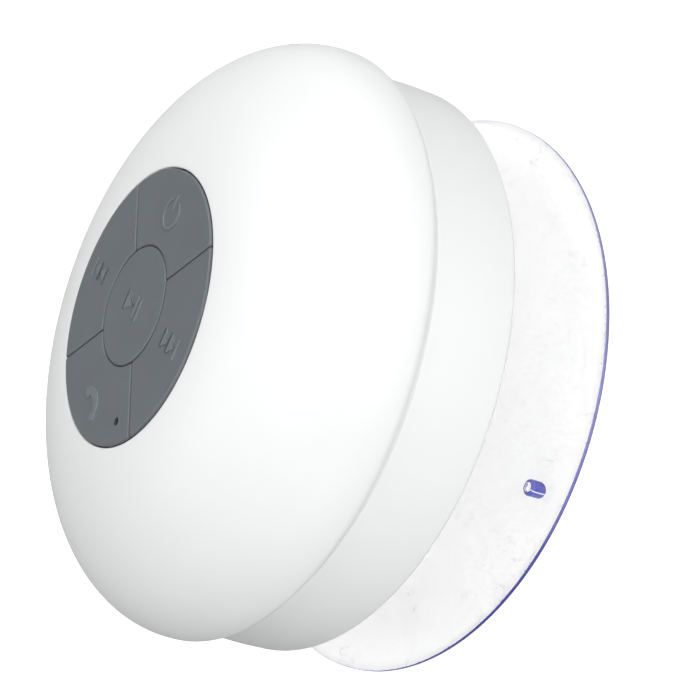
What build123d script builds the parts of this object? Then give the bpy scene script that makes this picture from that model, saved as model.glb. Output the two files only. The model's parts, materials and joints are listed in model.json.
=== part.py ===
from build123d import *
import os
from math import asin, cos, radians, sin, sqrt

# A round waterproof speaker that stands, or sticks to a wall, on its suction cup.
# Millimetres. The axis is +Z, from the cup to the keypad, and the origin is the
# centre of the cup's sealing rim. +Y is the side of the power key, -Y that of the
# charging socket. The driver plays through the rear face, around the cup's neck.

# ---- Driving dimensions -------------------------------------------------

# Suction cup: a clear moulded disc with a hollow underside, a neck and a snap head.
cup_radius = 42.5
cup_rim_thickness = 0.9
cup_rim_land = 1.6
cup_hollow_depth = 6.0
cup_hollow_step = 3.0
cup_flange_thickness = 2.4
cup_neck_radius = 10.0
cup_neck_blend = 4.0
cup_bow = 0.8
cup_edge = 0.3
cup_height = 16.0
stem_radius = 6.3
head_radius = 7.6
head_thickness = 2.4
head_chamfer = 0.8
pip_radius = 1.15
pip_height = 2.0
pip_inset = 3.9
pip_angle = 2.0

# Rear housing: the white drum behind the cover.
drum_radius = 42.0
drum_taper = 1.0
drum_belly = 0.22
drum_height = 12.2
drum_edge = 0.6
housing_wall = 2.2
floor_thickness = 2.2
socket_wall = 1.6
socket_roof = 1.2
slot_count = 20
slot_width = 1.6
slot_inner_margin = 2.2
slot_outer_margin = 1.9

# Front: a silicone cover over a hard dome, sealed to the drum.
seal_thickness = 0.8
dome_overhang = 0.9
dome_flat_radius = 16.0
dome_height = 19.0
dome_lip_height = 1.9
bead_tuck = 0.2
cover_thickness = 1.8
cover_bead = 1.8
shell_wall = 2.0
spigot_depth = 3.5
spigot_wall = 2.0

# Keypad: a round key and four sector keys over a mat, in a tray in the dome.
keypad_radius = 19.45
keypad_gap = 0.3
play_key_radius = 8.45
groove_width = 0.3
key_thickness = 2.2
key_edge = 0.2
key_corner = 0.8
key_lift = 0.6
key_nub_radius = 2.1
mat_thickness = 0.8
tray_thickness = 1.5
collar_wall = 1.8
mic_hole_radius = 0.6
mic_inset = 3.15
mic_angle = -57.5

# Key board: round circuit board under the tray, with everything that is soldered to it.
board_gap = 0.2
board_thickness = 1.2
switch_width = 6.0
switch_height = 3.1
switch_below_tray = 0.3
plunger_radius = 1.7
plunger_height = 0.9
plunger_depth = 1.2
plunger_room = 0.8
mic_radius = 2.0
mic_height = 1.5
mic_boot_wall = 0.7
led_length = 1.6
led_width = 0.8
led_height = 0.7
led_angle = -32.0
radio_length = 13.0
radio_width = 11.0
radio_height = 1.0
radio_inset = 6.4
amplifier_width = 5.0
amplifier_height = 0.9
amplifier_inset = 7.0
pillar_radius = 2.6
pillar_inset = 0.4
pillar_count = 3

# Driver: a small full-range loudspeaker facing the rear face.
seat_height = 1.5
driver_gap = 2.6
driver_seat_width = 4.1
driver_flange_thickness = 1.2
driver_screw_inset = 1.8
driver_depth = 7.6
basket_wall = 1.0
basket_back_step = 1.0
basket_window_count = 6
basket_window_angle = 38.0
basket_window_margin = 1.0
gasket_thickness = 0.8
cone_thickness = 0.4
cone_neck_radius = 7.8
cone_depth = 5.0
dust_cap_rise = 1.2
surround_roll_radius = 1.2
surround_thickness = 0.35
surround_lip = 1.6
coil_thickness = 0.5
coil_length = 6.4
magnet_gap = 0.5
spider_thickness = 0.4
spider_waves = 3
spider_wave_height = 0.25
spider_drop = 1.9
top_plate_thickness = 1.4
magnet_thickness = 4.0
magnet_radius = 16.0
yoke_thickness = 1.4
mesh_thickness = 0.4

# Power: a pouch cell beside the driver, and a small board with the charging socket.
battery_length = 26.0
battery_thickness = 5.4
battery_height = 14.0
battery_corner = 0.9
battery_gap = 0.6
battery_pad_thickness = 0.6
cradle_wall = 1.2
cradle_height = 6.0
charge_board_length = 16.0
charge_board_width = 11.0
charge_board_thickness = 1.0
charge_post_height = 2.0
charge_post_radius = 1.9
charge_screw_spread = 5.6
port_width = 7.5
port_height = 2.6
port_depth = 5.4
port_wall = 0.35
port_tongue = 0.7
port_web = 1.3
port_gap = 0.3
plug_length = 12.4
plug_height = 6.0
plug_corner = 1.4
plug_edge = 0.3
plug_tongue_length = 1.1
anchor_length = 3.2
anchor_stem_radius = 1.1

# Fasteners and leads.
case_screw_count = 4
column_radius = 3.4
column_gap = 0.7
case_screw_radius = 1.3
case_head_radius = 2.4
case_head_height = 1.6
case_head_recess = 1.8
case_screw_bite = 5.0
pilot_room = 0.6
small_screw_radius = 0.85
small_head_radius = 1.6
small_head_height = 1.0
small_screw_length = 4.4
lead_radius = 0.6
lead_spacing = 1.5

# Fits and clearances.
swivel_clearance = 0.08
axial_clearance = 0.1
head_room = 0.4
skin_fit = 0.1
slide_clearance = 0.1
nub_clearance = 0.2
plug_clearance = 0.15
plug_swing = 0.5
running_gap = 0.2
solder_gap = 0.05
thread_fit = 0.05

# ---- Levels and places worked out from them --------------------------------

rear_z = cup_height
floor_z = rear_z + floor_thickness
drum_top_z = rear_z + drum_height
dome_z = drum_top_z + seal_thickness
bulge_z = dome_z + dome_lip_height
face_z = dome_z + dome_height
dome_rise = face_z - bulge_z

drum_top_radius = drum_radius - drum_taper
drum_bore = drum_top_radius - housing_wall
spigot_radius = drum_bore - slide_clearance
case_screw_reach = spigot_radius - spigot_wall - column_gap - column_radius
dome_radius = drum_radius + dome_overhang
dome_lip_radius = drum_top_radius - bead_tuck
bead_inner_radius = dome_lip_radius - cover_bead
shell_inset = cover_thickness + skin_fit
tray_radius = keypad_radius + keypad_gap
key_reach = (keypad_radius + play_key_radius + groove_width) / 2
mic_reach = keypad_radius - mic_inset

key_bottom_z = face_z - key_thickness
mat_top_z = key_bottom_z - key_lift
tray_z = mat_top_z - mat_thickness
tray_bottom_z = tray_z - tray_thickness
switch_top_z = tray_bottom_z - switch_below_tray
board_z = switch_top_z - switch_height
board_bottom_z = board_z - board_thickness
plunger_top_z = switch_top_z + plunger_height
board_radius = case_screw_reach - column_radius - board_gap
pillar_reach = board_radius - pillar_radius - pillar_inset
radio_reach = board_radius - radio_inset
amplifier_reach = board_radius - amplifier_inset
lead_reach = board_radius - lead_radius - board_gap

socket_radius = stem_radius + swivel_clearance
chamber_radius = head_radius + head_room
pip_reach = cup_radius - pip_inset
cup_hollow_flat = cup_neck_radius + cup_hollow_step
head_z = floor_z + axial_clearance
chamber_top_z = head_z + head_thickness + head_room
socket_top_z = chamber_top_z + socket_roof

seat_z = floor_z + seat_height
flange_z = seat_z + gasket_thickness
basket_z = flange_z + driver_flange_thickness
plate_z = basket_z + driver_depth
magnet_z = plate_z + top_plate_thickness
yoke_z = magnet_z + magnet_thickness
driver_flange_radius = case_screw_reach - column_radius - driver_gap
driver_screw_reach = driver_flange_radius - driver_screw_inset
gasket_inner_radius = driver_flange_radius - driver_seat_width
surround_outer_radius = gasket_inner_radius - slide_clearance - surround_lip
surround_inner_radius = surround_outer_radius - 2 * surround_roll_radius
cone_radius = surround_inner_radius - running_gap
basket_back_radius = magnet_radius - basket_back_step
slot_inner = chamber_radius + socket_wall + slot_inner_margin
slot_outer = gasket_inner_radius - slot_outer_margin
basket_front_radius = surround_outer_radius + running_gap
coil_radius = cone_neck_radius - solder_gap
pole_radius = coil_radius - coil_thickness - magnet_gap
plate_bore = coil_radius + magnet_gap

spider_z = plate_z - spider_drop
cone_edge_z = flange_z
cone_neck_z = cone_edge_z + cone_depth

battery_inner = driver_flange_radius + battery_gap
post_z = floor_z + charge_post_height
charge_board_z = post_z + charge_board_thickness
port_z = charge_board_z + port_height / 2
plug_seat_radius = drum_bore + port_web
port_mouth = plug_seat_radius - plug_tongue_length - port_gap
charge_board_outer = drum_bore - 4 * slide_clearance
charge_screw_reach = charge_board_outer - charge_board_width + small_head_radius + slide_clearance
case_screw_z = rear_z + case_head_recess
driver_pilot_z = basket_z - small_screw_length - slide_clearance
charge_pilot_z = floor_z - floor_thickness / 2

KEYS = [("power", 90.0), ("next", 0.0), ("phone", 270.0), ("previous", 180.0)]
SIDES = (-1, 1)
RESTING = (Align.CENTER, Align.CENTER, Align.MIN)


# ---- Shared shapes ----------------------------------------------------------

def at(radius, angle, z=0.0):
    """Place at a radius and angle around the axis."""
    return Location((radius * cos(radians(angle)), radius * sin(radians(angle)), z))


def tube(outer, inner, bottom, top):
    """Upright ring between two levels."""
    ring = Circle(outer) - Circle(inner)
    return Pos(0, 0, bottom) * extrude(ring, top - bottom)


def rod(radius, bottom, top):
    """Upright solid cylinder between two levels."""
    return Pos(0, 0, bottom) * extrude(Circle(radius), top - bottom)


def turned(*edges):
    """Solid turned about the axis from an outline of radius and level."""
    return revolve(Plane.XZ * make_face(Curve() + list(edges)), Axis.Z)


def group(solids):
    """Several separate solids kept together as one sub-part."""
    return Compound(children=list(solids))


def dome_body(inset, foot_radius, foot_z):
    """Solid dome: an elliptical shoulder over a foot that draws in to the seam."""
    across = dome_radius - dome_flat_radius - inset
    rise = dome_rise - inset
    crown_z = bulge_z + rise
    shoulder = EllipticalCenterArc((dome_flat_radius, bulge_z), across, rise, 0, arc_size=90)
    return turned(
        shoulder,
        Line((dome_flat_radius, crown_z), (0, crown_z)),
        Line((0, crown_z), (0, foot_z)),
        Line((0, foot_z), (foot_radius, foot_z)),
        Line((foot_radius, foot_z), (dome_radius - inset, bulge_z)),
    )


def drum_body():
    """Solid drum: nearly upright wall with a slight belly and a broken rear edge."""
    middle = ((drum_radius + drum_top_radius) / 2 + drum_belly, (rear_z + drum_top_z) / 2)
    drum = turned(
        Line((0, rear_z), (drum_radius, rear_z)),
        ThreePointArc((drum_radius, rear_z), middle, (drum_top_radius, drum_top_z)),
        Line((drum_top_radius, drum_top_z), (0, drum_top_z)),
        Line((0, drum_top_z), (0, rear_z)),
    )
    rear_edge = drum.edges().filter_by(GeomType.CIRCLE).sort_by(Axis.Z)[0]
    return fillet(rear_edge, drum_edge)


def screw(shank_radius, length, head_radius, head_height):
    """Screw, head down, with its seat at Z 0 and its shank going up."""
    return rod(head_radius, -head_height, 0) + rod(shank_radius, 0, length)


# ---- Suction cup --------------------------------------------------------------

def cup_flange_z(reach):
    """Level of the flange's upper face at a radius: a shallow arch from rim to neck."""
    rise = cup_hollow_depth + cup_flange_thickness - cup_rim_thickness
    share = (cup_radius - reach) / (cup_radius - cup_neck_radius - cup_neck_blend)
    return cup_rim_thickness + rise * share + 4 * cup_bow * share * (1 - share)


def suction_cup():
    """Clear cup: hollow flange, waisted neck, stem and snap head, with the pull pip."""
    neck_base_z = cup_hollow_depth + cup_flange_thickness
    shoulder_z = rear_z - axial_clearance
    head_top_z = head_z + head_thickness
    land_radius = cup_radius - cup_rim_land
    blend_radius = cup_neck_radius + cup_neck_blend
    blend_z = neck_base_z + cup_neck_blend
    middle = (cup_radius + blend_radius) / 2
    waist = cup_neck_blend * (1 - sqrt(0.5))
    edge_top = (cup_radius - cup_edge, cup_flange_z(cup_radius - cup_edge))
    cup = turned(
        Line((0, 0), (cup_radius, 0)),
        Line((cup_radius, 0), (cup_radius, cup_rim_thickness - cup_edge)),
        Line((cup_radius, cup_rim_thickness - cup_edge), edge_top),
        ThreePointArc(
            edge_top,
            (middle, cup_flange_z(middle)),
            (blend_radius, neck_base_z),
        ),
        ThreePointArc(
            (blend_radius, neck_base_z),
            (cup_neck_radius + waist, neck_base_z + waist),
            (cup_neck_radius, blend_z),
        ),
        Line((cup_neck_radius, blend_z), (cup_neck_radius, shoulder_z)),
        Line((cup_neck_radius, shoulder_z), (stem_radius, shoulder_z)),
        Line((stem_radius, shoulder_z), (stem_radius, head_z)),
        Line((stem_radius, head_z), (head_radius, head_z)),
        Line((head_radius, head_z), (head_radius, head_top_z - head_chamfer)),
        Line((head_radius, head_top_z - head_chamfer), (stem_radius, head_top_z)),
        Line((stem_radius, head_top_z), (0, head_top_z)),
        Line((0, head_top_z), (0, 0)),
    )
    cup += at(pip_reach, pip_angle) * rod(pip_radius, 0, cup_flange_z(pip_reach) + pip_height)
    hollow_middle = (land_radius + cup_hollow_flat) / 2
    return cup - turned(
        Line((0, 0), (land_radius, 0)),
        ThreePointArc(
            (land_radius, 0),
            (hollow_middle, cup_hollow_depth / 2 + cup_bow),
            (cup_hollow_flat, cup_hollow_depth),
        ),
        Line((cup_hollow_flat, cup_hollow_depth), (0, cup_hollow_depth)),
        Line((0, cup_hollow_depth), (0, 0)),
    )


# ---- Rear housing ---------------------------------------------------------------

def sound_slots():
    """Ring of radial slots in the rear face, around the cup's socket."""
    reach = (slot_inner + slot_outer) / 2
    slot = SlotOverall(slot_outer - slot_inner, slot_width)
    cut = extrude(slot, floor_thickness)
    turn = 360.0 / slot_count
    return [Rot(0, 0, i * turn) * Pos(reach, 0, rear_z) * cut for i in range(slot_count)]


def screw_angles():
    """Directions of the case screws, between the keys' directions."""
    turn = 360.0 / case_screw_count
    return [turn / 2 + i * turn for i in range(case_screw_count)]


def turn_places(count, first=0.0):
    """Directions of pieces spaced evenly around the axis."""
    return [first + i * 360.0 / count for i in range(count)]


def side_prism(outline):
    """Outline drawn on the XZ plane, run out through the drum's wall towards -Y."""
    return Plane.XZ * extrude(outline, 2 * drum_radius)


def port_cut():
    """Recess for the plug and its strap, and the way through to the socket."""
    strap_end = plug_length / 2 + anchor_length + 2 * plug_clearance
    free_end = plug_length / 2 + plug_clearance
    height = plug_height + 2 * plug_clearance
    face = RectangleRounded(strap_end + free_end, height, plug_corner)
    recess = side_prism(Pos((strap_end - free_end) / 2, port_z) * face)
    recess -= rod(plug_seat_radius, rear_z, drum_top_z)
    passage = RectangleRounded(port_width + 2 * plug_swing, port_height + 2 * plug_swing, plug_swing)
    stem_hole = Circle(anchor_stem_radius + slide_clearance)
    way = side_prism(Pos(0, port_z) * passage)
    return recess + way + side_prism(Pos(anchor_x(), port_z) * stem_hole)


def anchor_x():
    """Place along X of the middle of the strap's button."""
    return plug_length / 2 + plug_clearance + anchor_length / 2


def rear_housing():
    """Drum with its rear face, cup socket, driver seat, columns, cradle and posts."""
    drum = drum_body() - rod(drum_bore, floor_z, drum_top_z)
    drum -= port_cut()
    drum += rod(chamber_radius + socket_wall, floor_z, socket_top_z)
    drum += tube(driver_flange_radius, gasket_inner_radius, floor_z, seat_z)
    half = battery_length / 2 + slide_clearance + cradle_wall / 2
    middle_z = floor_z + cradle_height / 2
    for side in SIDES:
        end_wall = Box(cradle_wall, battery_thickness, cradle_height)
        drum += Pos(side * half, battery_inner + battery_thickness / 2, middle_z) * end_wall
    back_wall = Box(battery_length / 2, cradle_wall, cradle_height)
    back_y = battery_inner + battery_thickness + battery_pad_thickness + cradle_wall / 2
    drum += Pos(0, back_y, middle_z) * back_wall
    for angle in screw_angles():
        drum += at(case_screw_reach, angle) * rod(column_radius, floor_z, dome_z)
    for side in SIDES:
        post = rod(charge_post_radius, floor_z, post_z)
        drum += Pos(side * charge_screw_spread, -charge_screw_reach) * post
    drum -= sound_slots()
    drum -= rod(socket_radius, rear_z, floor_z)
    drum -= rod(chamber_radius, floor_z, chamber_top_z)
    for angle in screw_angles():
        hole = rod(case_screw_radius + slide_clearance, rear_z, dome_z)
        sink = rod(case_head_radius + slide_clearance, rear_z, case_screw_z)
        drum -= at(case_screw_reach, angle) * (hole + sink)
    for angle in screw_angles():
        pilot = rod(small_screw_radius + thread_fit, driver_pilot_z, seat_z)
        drum -= at(driver_screw_reach, angle) * pilot
    for side in SIDES:
        pilot = rod(small_screw_radius + thread_fit, charge_pilot_z, post_z)
        drum -= Pos(side * charge_screw_spread, -charge_screw_reach) * pilot
    return drum


def rear_mesh():
    """Woven water-shedding mesh laid over the sound slots."""
    inner = chamber_radius + socket_wall + slide_clearance
    outer = gasket_inner_radius - slide_clearance
    return tube(outer, inner, floor_z, floor_z + mesh_thickness)


# ---- Front cover, shell and seal -------------------------------------------------

def front_cover():
    """Soft silicone skin over the dome, with a rolled bead at the seam."""
    across = dome_radius - dome_flat_radius
    shoulder = EllipticalCenterArc((dome_flat_radius, bulge_z), across, dome_rise, 0, arc_size=90)
    bead_width = dome_radius - dome_lip_radius
    bead = EllipticalCenterArc((dome_lip_radius, bulge_z), bead_width, dome_lip_height, 270, arc_size=90)
    skin = turned(
        bead,
        shoulder,
        Line((dome_flat_radius, face_z), (0, face_z)),
        Line((0, face_z), (0, dome_z)),
        Line((0, dome_z), (dome_lip_radius, dome_z)),
    )
    skin -= dome_body(cover_thickness, bead_inner_radius, dome_z)
    skin -= rod(tray_radius, dome_z, face_z)
    rim = skin.edges().filter_by(GeomType.CIRCLE).group_by(SortBy.RADIUS)[0].sort_by(Axis.Z)[-1]
    return chamfer(rim, key_edge)


def front_shell():
    """Hard dome with the keypad's tray and collar, bosses, pillars and a spigot."""
    foot_radius = bead_inner_radius - skin_fit
    dome = dome_body(shell_inset, foot_radius, dome_z)
    shell = dome - dome_body(shell_inset + shell_wall, foot_radius - shell_wall, dome_z)
    shell += tube(spigot_radius, spigot_radius - spigot_wall, dome_z - spigot_depth, dome_z)
    shell += rod(tray_radius + collar_wall, tray_bottom_z, face_z) & dome
    for angle in screw_angles():
        shell += (at(case_screw_reach, angle) * rod(column_radius, dome_z, face_z)) & dome
    for angle in pillar_angles():
        shell += (at(pillar_reach, angle) * rod(pillar_radius, board_z, face_z)) & dome
    shell -= rod(tray_radius, tray_z, face_z)
    for reach, angle in nub_places():
        hole = rod(key_nub_radius + 2 * nub_clearance, tray_bottom_z, tray_z)
        shell -= at(reach, angle) * hole
    shell -= at(mic_reach, mic_angle) * rod(mic_hole_radius, tray_bottom_z, tray_z)
    for angle in screw_angles():
        depth = case_screw_bite + pilot_room
        pilot = rod(case_screw_radius + thread_fit, dome_z, dome_z + depth)
        shell -= at(case_screw_reach, angle) * pilot
    for angle in pillar_angles():
        depth = small_screw_length - board_thickness + pilot_room
        pilot = rod(small_screw_radius + thread_fit, board_z, board_z + depth)
        shell -= at(pillar_reach, angle) * pilot
    return shell


def seal_ring():
    """Soft ring squeezed between the cover's bead and the drum's rim, around the spigot."""
    return tube(dome_lip_radius + skin_fit, drum_bore, drum_top_z, dome_z)


# ---- Keypad ------------------------------------------------------------------------

def nub_places():
    """Radius and angle of each key's nub, the middle key's first."""
    return [(0.0, 0.0)] + [(key_reach, angle) for name, angle in KEYS]


def key_from(blank, reach, angle):
    """Key from its blank: broken top edges and a nub that reaches down to its switch."""
    rim = blank.faces().sort_by(Axis.Z)[-1].outer_wire().edges()
    key = chamfer(rim, key_edge)
    return key + at(reach, angle) * rod(key_nub_radius, plunger_top_z, key_bottom_z)


def sector_key(angle):
    """Quarter of the keypad's ring, a groove's width from its neighbours."""
    ring = Circle(keypad_radius) - Circle(play_key_radius + groove_width)
    apex = groove_width * sqrt(0.5)
    arm = 2 * keypad_radius
    wedge = Polyline((apex, 0), (apex + arm, -arm), (apex + arm, arm), close=True)
    blank = Pos(0, 0, key_bottom_z) * extrude(ring & make_face(wedge), key_thickness)
    blank = fillet(blank.edges().filter_by(Axis.Z), key_corner)
    return key_from(Rot(0, 0, angle) * blank, key_reach, angle)


def phone_key():
    """Lower sector key, with the microphone's hole through it."""
    key = sector_key(dict(KEYS)["phone"])
    hole = rod(mic_hole_radius, key_bottom_z, face_z)
    return key - at(mic_reach, mic_angle) * hole


def play_key():
    """Round middle key."""
    return key_from(rod(play_key_radius, key_bottom_z, face_z), 0.0, 0.0)


def key_mat():
    """Thin sealing mat under the keys, with a hole for each nub and the microphone."""
    mat = rod(tray_radius - slide_clearance, tray_z, mat_top_z)
    for reach, angle in nub_places():
        mat -= at(reach, angle) * rod(key_nub_radius + nub_clearance, tray_z, mat_top_z)
    return mat - at(mic_reach, mic_angle) * rod(mic_hole_radius, tray_z, mat_top_z)


# ---- Key board ----------------------------------------------------------------------

def pillar_angles():
    """Directions of the pillars that carry the key board."""
    return turn_places(pillar_count, 90.0)


def key_board():
    """Round circuit board hung from the pillars under the tray."""
    board = rod(board_radius, board_bottom_z, board_z)
    for angle in pillar_angles():
        hole = rod(small_screw_radius + slide_clearance, board_bottom_z, board_z)
        board -= at(pillar_reach, angle) * hole
    return board


def key_switches():
    """Five square push switches, each with a well for its plunger."""
    well_bottom = switch_top_z - plunger_depth - plunger_room
    body = Box(switch_width, switch_width, switch_height)
    body = chamfer(body.edges().filter_by(Axis.Z), switch_width * 0.1)
    body = Pos(0, 0, board_z + switch_height / 2) * body
    body -= rod(plunger_radius + slide_clearance, well_bottom, switch_top_z)
    return group(Pos(*at(reach, angle).position) * body for reach, angle in nub_places())


def plunger(reach, angle):
    """Switch plunger that the nub of a key rests on."""
    stem = rod(plunger_radius, switch_top_z - plunger_depth, plunger_top_z)
    return at(reach, angle) * chamfer(stem.edges().sort_by(Axis.Z)[-1], plunger_radius * 0.15)


def microphone():
    """Small round microphone under the hole in the phone key."""
    can = rod(mic_radius, board_z, board_z + mic_height)
    can -= rod(mic_hole_radius, board_z + mic_height / 2, board_z + mic_height)
    return at(mic_reach, mic_angle) * can


def mic_boot():
    """Rubber boot that joins the microphone to the hole in the tray."""
    boot = rod(mic_radius + mic_boot_wall, board_z, tray_bottom_z)
    boot -= rod(mic_radius + solder_gap, board_z, board_z + mic_height + solder_gap)
    boot -= rod(mic_hole_radius, board_z, tray_bottom_z)
    return at(mic_reach, mic_angle) * boot


def status_led():
    """Light-emitting diode on the key board, with its lens."""
    base = Box(led_length, led_width, led_height / 2, align=RESTING)
    lens = Box(led_length * 0.6, led_width * 0.9, led_height, align=RESTING)
    return at(mic_reach, led_angle, board_z) * (base + lens)


def radio_module():
    """Wireless module: a small board with a shielding can and a bare antenna end."""
    base = Box(radio_width, radio_length, radio_height * 0.4, align=RESTING)
    can = Box(radio_width * 0.6, radio_length * 0.9, radio_height, align=RESTING)
    module = base + Pos(-radio_width * 0.15, 0) * can
    return Rot(0, 0, 135) * Pos(radio_reach - radio_width / 5, 0, board_z) * module


def amplifier_chip():
    """Amplifier chip that drives the loudspeaker."""
    chip = Box(amplifier_width, amplifier_width, amplifier_height, align=RESTING)
    chip = chamfer(chip.edges().sort_by(Axis.Z)[-4:], amplifier_height * 0.2)
    return Rot(0, 0, 225) * Pos(amplifier_reach, 0, board_z) * chip


def board_screws():
    """Screws that hold the key board to the pillars."""
    blank = screw(small_screw_radius, small_screw_length, small_head_radius, small_head_height)
    return group(at(pillar_reach, angle, board_bottom_z) * blank for angle in pillar_angles())


# ---- Driver ---------------------------------------------------------------------------

def basket_reach(z):
    """Inner radius of the basket's sloping wall at a level."""
    share = (z - flange_z) / (plate_z - basket_wall - flange_z)
    return basket_front_radius + share * (basket_back_radius - basket_wall - basket_front_radius)


def driver_basket():
    """Pressed frame: flange, sloping wall with windows, and the ring behind."""
    bore = plate_bore + basket_wall
    ledge_z = plate_z - basket_wall
    wall_radius = basket_reach(basket_z) + basket_wall
    frame = turned(
        Line((basket_front_radius, flange_z), (driver_flange_radius, flange_z)),
        Line((driver_flange_radius, flange_z), (driver_flange_radius, basket_z)),
        Line((driver_flange_radius, basket_z), (wall_radius, basket_z)),
        Line((wall_radius, basket_z), (basket_back_radius, ledge_z)),
        Line((basket_back_radius, ledge_z), (basket_back_radius, plate_z)),
        Line((basket_back_radius, plate_z), (bore, plate_z)),
        Line((bore, plate_z), (bore, ledge_z)),
        Line((bore, ledge_z), (basket_back_radius - basket_wall, ledge_z)),
        Line((basket_back_radius - basket_wall, ledge_z), (basket_front_radius, flange_z)),
    )
    low = basket_z + basket_window_margin
    high = spider_z - basket_window_margin
    half = radians(basket_window_angle / 2)
    far = 2 * driver_flange_radius
    wedge = make_face(
        Polyline((0, 0), (far, -far * sin(half)), (far, far * sin(half)), close=True)
    )
    window = Pos(0, 0, low) * extrude(wedge, high - low)
    for angle in turn_places(basket_window_count):
        frame -= Rot(0, 0, angle) * window
    for angle in screw_angles():
        hole = rod(small_screw_radius + slide_clearance, flange_z, basket_z)
        frame -= at(driver_screw_reach, angle) * hole
    return frame


def driver_gasket():
    """Foam ring between the driver's flange and its seat."""
    ring = tube(driver_flange_radius, gasket_inner_radius, seat_z, flange_z)
    for angle in screw_angles():
        hole = rod(small_screw_radius + slide_clearance, seat_z, flange_z)
        ring -= at(driver_screw_reach, angle) * hole
    return ring


def driver_screws():
    """Screws through the driver's flange into its seat."""
    blank = Rot(180, 0, 0) * screw(
        small_screw_radius, small_screw_length, small_head_radius, small_head_height
    )
    return group(at(driver_screw_reach, angle, basket_z) * blank for angle in screw_angles())


def speaker_cone():
    """Paper cone and its dust cap, which curves out towards the sound slots."""
    rim = (cone_radius, cone_edge_z)
    neck = (cone_neck_radius, cone_neck_z)
    cap = cone_neck_z - dust_cap_rise
    cap_sphere = (cone_neck_radius ** 2 + dust_cap_rise ** 2) / (2 * dust_cap_rise)
    half_angle = asin(cone_neck_radius / cap_sphere) / 2
    cap_middle = (cap_sphere * sin(half_angle), cap + cap_sphere * (1 - cos(half_angle)))
    lift = cone_thickness
    return turned(
        ThreePointArc((0, cap), cap_middle, neck),
        Line(neck, rim),
        Line(rim, (cone_radius, cone_edge_z + lift)),
        Line((cone_radius, cone_edge_z + lift), (cone_neck_radius, cone_neck_z + lift)),
        ThreePointArc(
            (cone_neck_radius, cone_neck_z + lift),
            (cap_middle[0], cap_middle[1] + lift),
            (0, cap + lift),
        ),
        Line((0, cap + lift), (0, cap)),
    )


def surround():
    """Rubber half-roll between the cone's edge and the flange, with its glued lip."""
    roll_radius = surround_inner_radius + surround_roll_radius
    roll = Circle(surround_roll_radius) - Circle(surround_roll_radius - surround_thickness)
    lower = Pos(0, -surround_roll_radius / 2) * Rectangle(
        2 * surround_roll_radius, surround_roll_radius
    )
    lip_width = gasket_inner_radius - slide_clearance - surround_outer_radius + surround_thickness
    lip_middle = gasket_inner_radius - slide_clearance - lip_width / 2
    lip = Pos(lip_middle, flange_z - surround_thickness / 2) * Rectangle(
        lip_width, surround_thickness
    )
    profile = Pos(roll_radius, flange_z) * (roll & lower) + lip
    return revolve(Plane.XZ * profile, Axis.Z)


def spider():
    """Pleated centring disc between the voice coil and the basket."""
    inner = coil_radius + running_gap
    outer = basket_reach(spider_z + spider_thickness) - slide_clearance
    steps = 2 * spider_waves
    reaches = [inner + (outer - inner) * i / steps for i in range(steps + 1)]
    low = [(reach, spider_z + spider_wave_height * (i % 2)) for i, reach in enumerate(reaches)]
    high = [(reach, z + spider_thickness) for reach, z in low]
    return turned(Polyline(*low), Line(low[-1], high[-1]), Polyline(*high), Line(high[0], low[0]))


def voice_coil():
    """Coil on its former, glued to the cone's neck and free in the magnet's gap."""
    bottom = cone_neck_z + cone_thickness
    return tube(coil_radius, coil_radius - coil_thickness, bottom, bottom + coil_length)


def top_plate():
    """Steel plate in front of the magnet, around the voice coil."""
    return tube(basket_back_radius, plate_bore, plate_z, magnet_z)


def driver_magnet():
    """Ceramic ring magnet."""
    return tube(magnet_radius, plate_bore + basket_wall, magnet_z, yoke_z)


def driver_yoke():
    """Steel back plate with the pole that stands inside the voice coil."""
    back = rod(basket_back_radius, yoke_z, yoke_z + yoke_thickness)
    back = chamfer(back.edges().sort_by(Axis.Z)[-1], yoke_thickness * 0.3)
    return back + rod(pole_radius, plate_z, yoke_z)


# ---- Power and leads --------------------------------------------------------------------

def battery():
    """Pouch cell that stands in its cradle beside the driver."""
    pouch = Box(battery_length, battery_thickness, battery_height, align=RESTING)
    pouch = fillet(pouch.edges().filter_by(Axis.X), battery_corner)
    return Pos(0, battery_inner + battery_thickness / 2, floor_z) * pouch


def battery_pad():
    """Foam pad that keeps the cell from rattling against its back wall."""
    pad = Box(battery_length / 2, battery_pad_thickness, cradle_height, align=RESTING)
    return Pos(0, battery_inner + battery_thickness + battery_pad_thickness / 2, floor_z) * pad


def charge_board():
    """Small board on two posts that carries the charging socket."""
    middle = charge_board_outer - charge_board_width / 2
    board = Pos(0, -middle, post_z) * Box(
        charge_board_length, charge_board_width, charge_board_thickness, align=RESTING
    )
    board &= rod(charge_board_outer, post_z, charge_board_z)
    for side in SIDES:
        hole = rod(small_screw_radius + slide_clearance, post_z, charge_board_z)
        board -= Pos(side * charge_screw_spread, -charge_screw_reach) * hole
    return board


def charge_screws():
    """Screws that hold the charging board to its posts."""
    blank = Rot(180, 0, 0) * screw(
        small_screw_radius,
        charge_board_z - charge_pilot_z - slide_clearance,
        small_head_radius,
        small_head_height,
    )
    return group(
        Pos(side * charge_screw_spread, -charge_screw_reach, charge_board_z) * blank
        for side in SIDES
    )


def charge_socket():
    """Pressed steel charging socket, narrower below, with its contact tongue."""
    half_width = port_width / 2
    half_height = port_height / 2
    taper = half_height * 0.6
    face = make_face(
        Polyline(
            (-half_width, half_height),
            (half_width, half_height),
            (half_width, 0),
            (half_width - taper, -half_height),
            (taper - half_width, -half_height),
            (-half_width, 0),
            close=True,
        )
    )
    inside = offset(face, -port_wall)
    can = extrude(face, port_depth) - extrude(inside, port_depth - port_wall)
    tongue = Pos(0, port_wall) * Rectangle(port_width / 2, port_tongue)
    can += Pos(0, 0, port_gap) * extrude(tongue, port_depth - port_gap)
    facing = Plane(origin=(0, -port_mouth, port_z), x_dir=(-1, 0, 0), z_dir=(0, 1, 0))
    return facing * can


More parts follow.
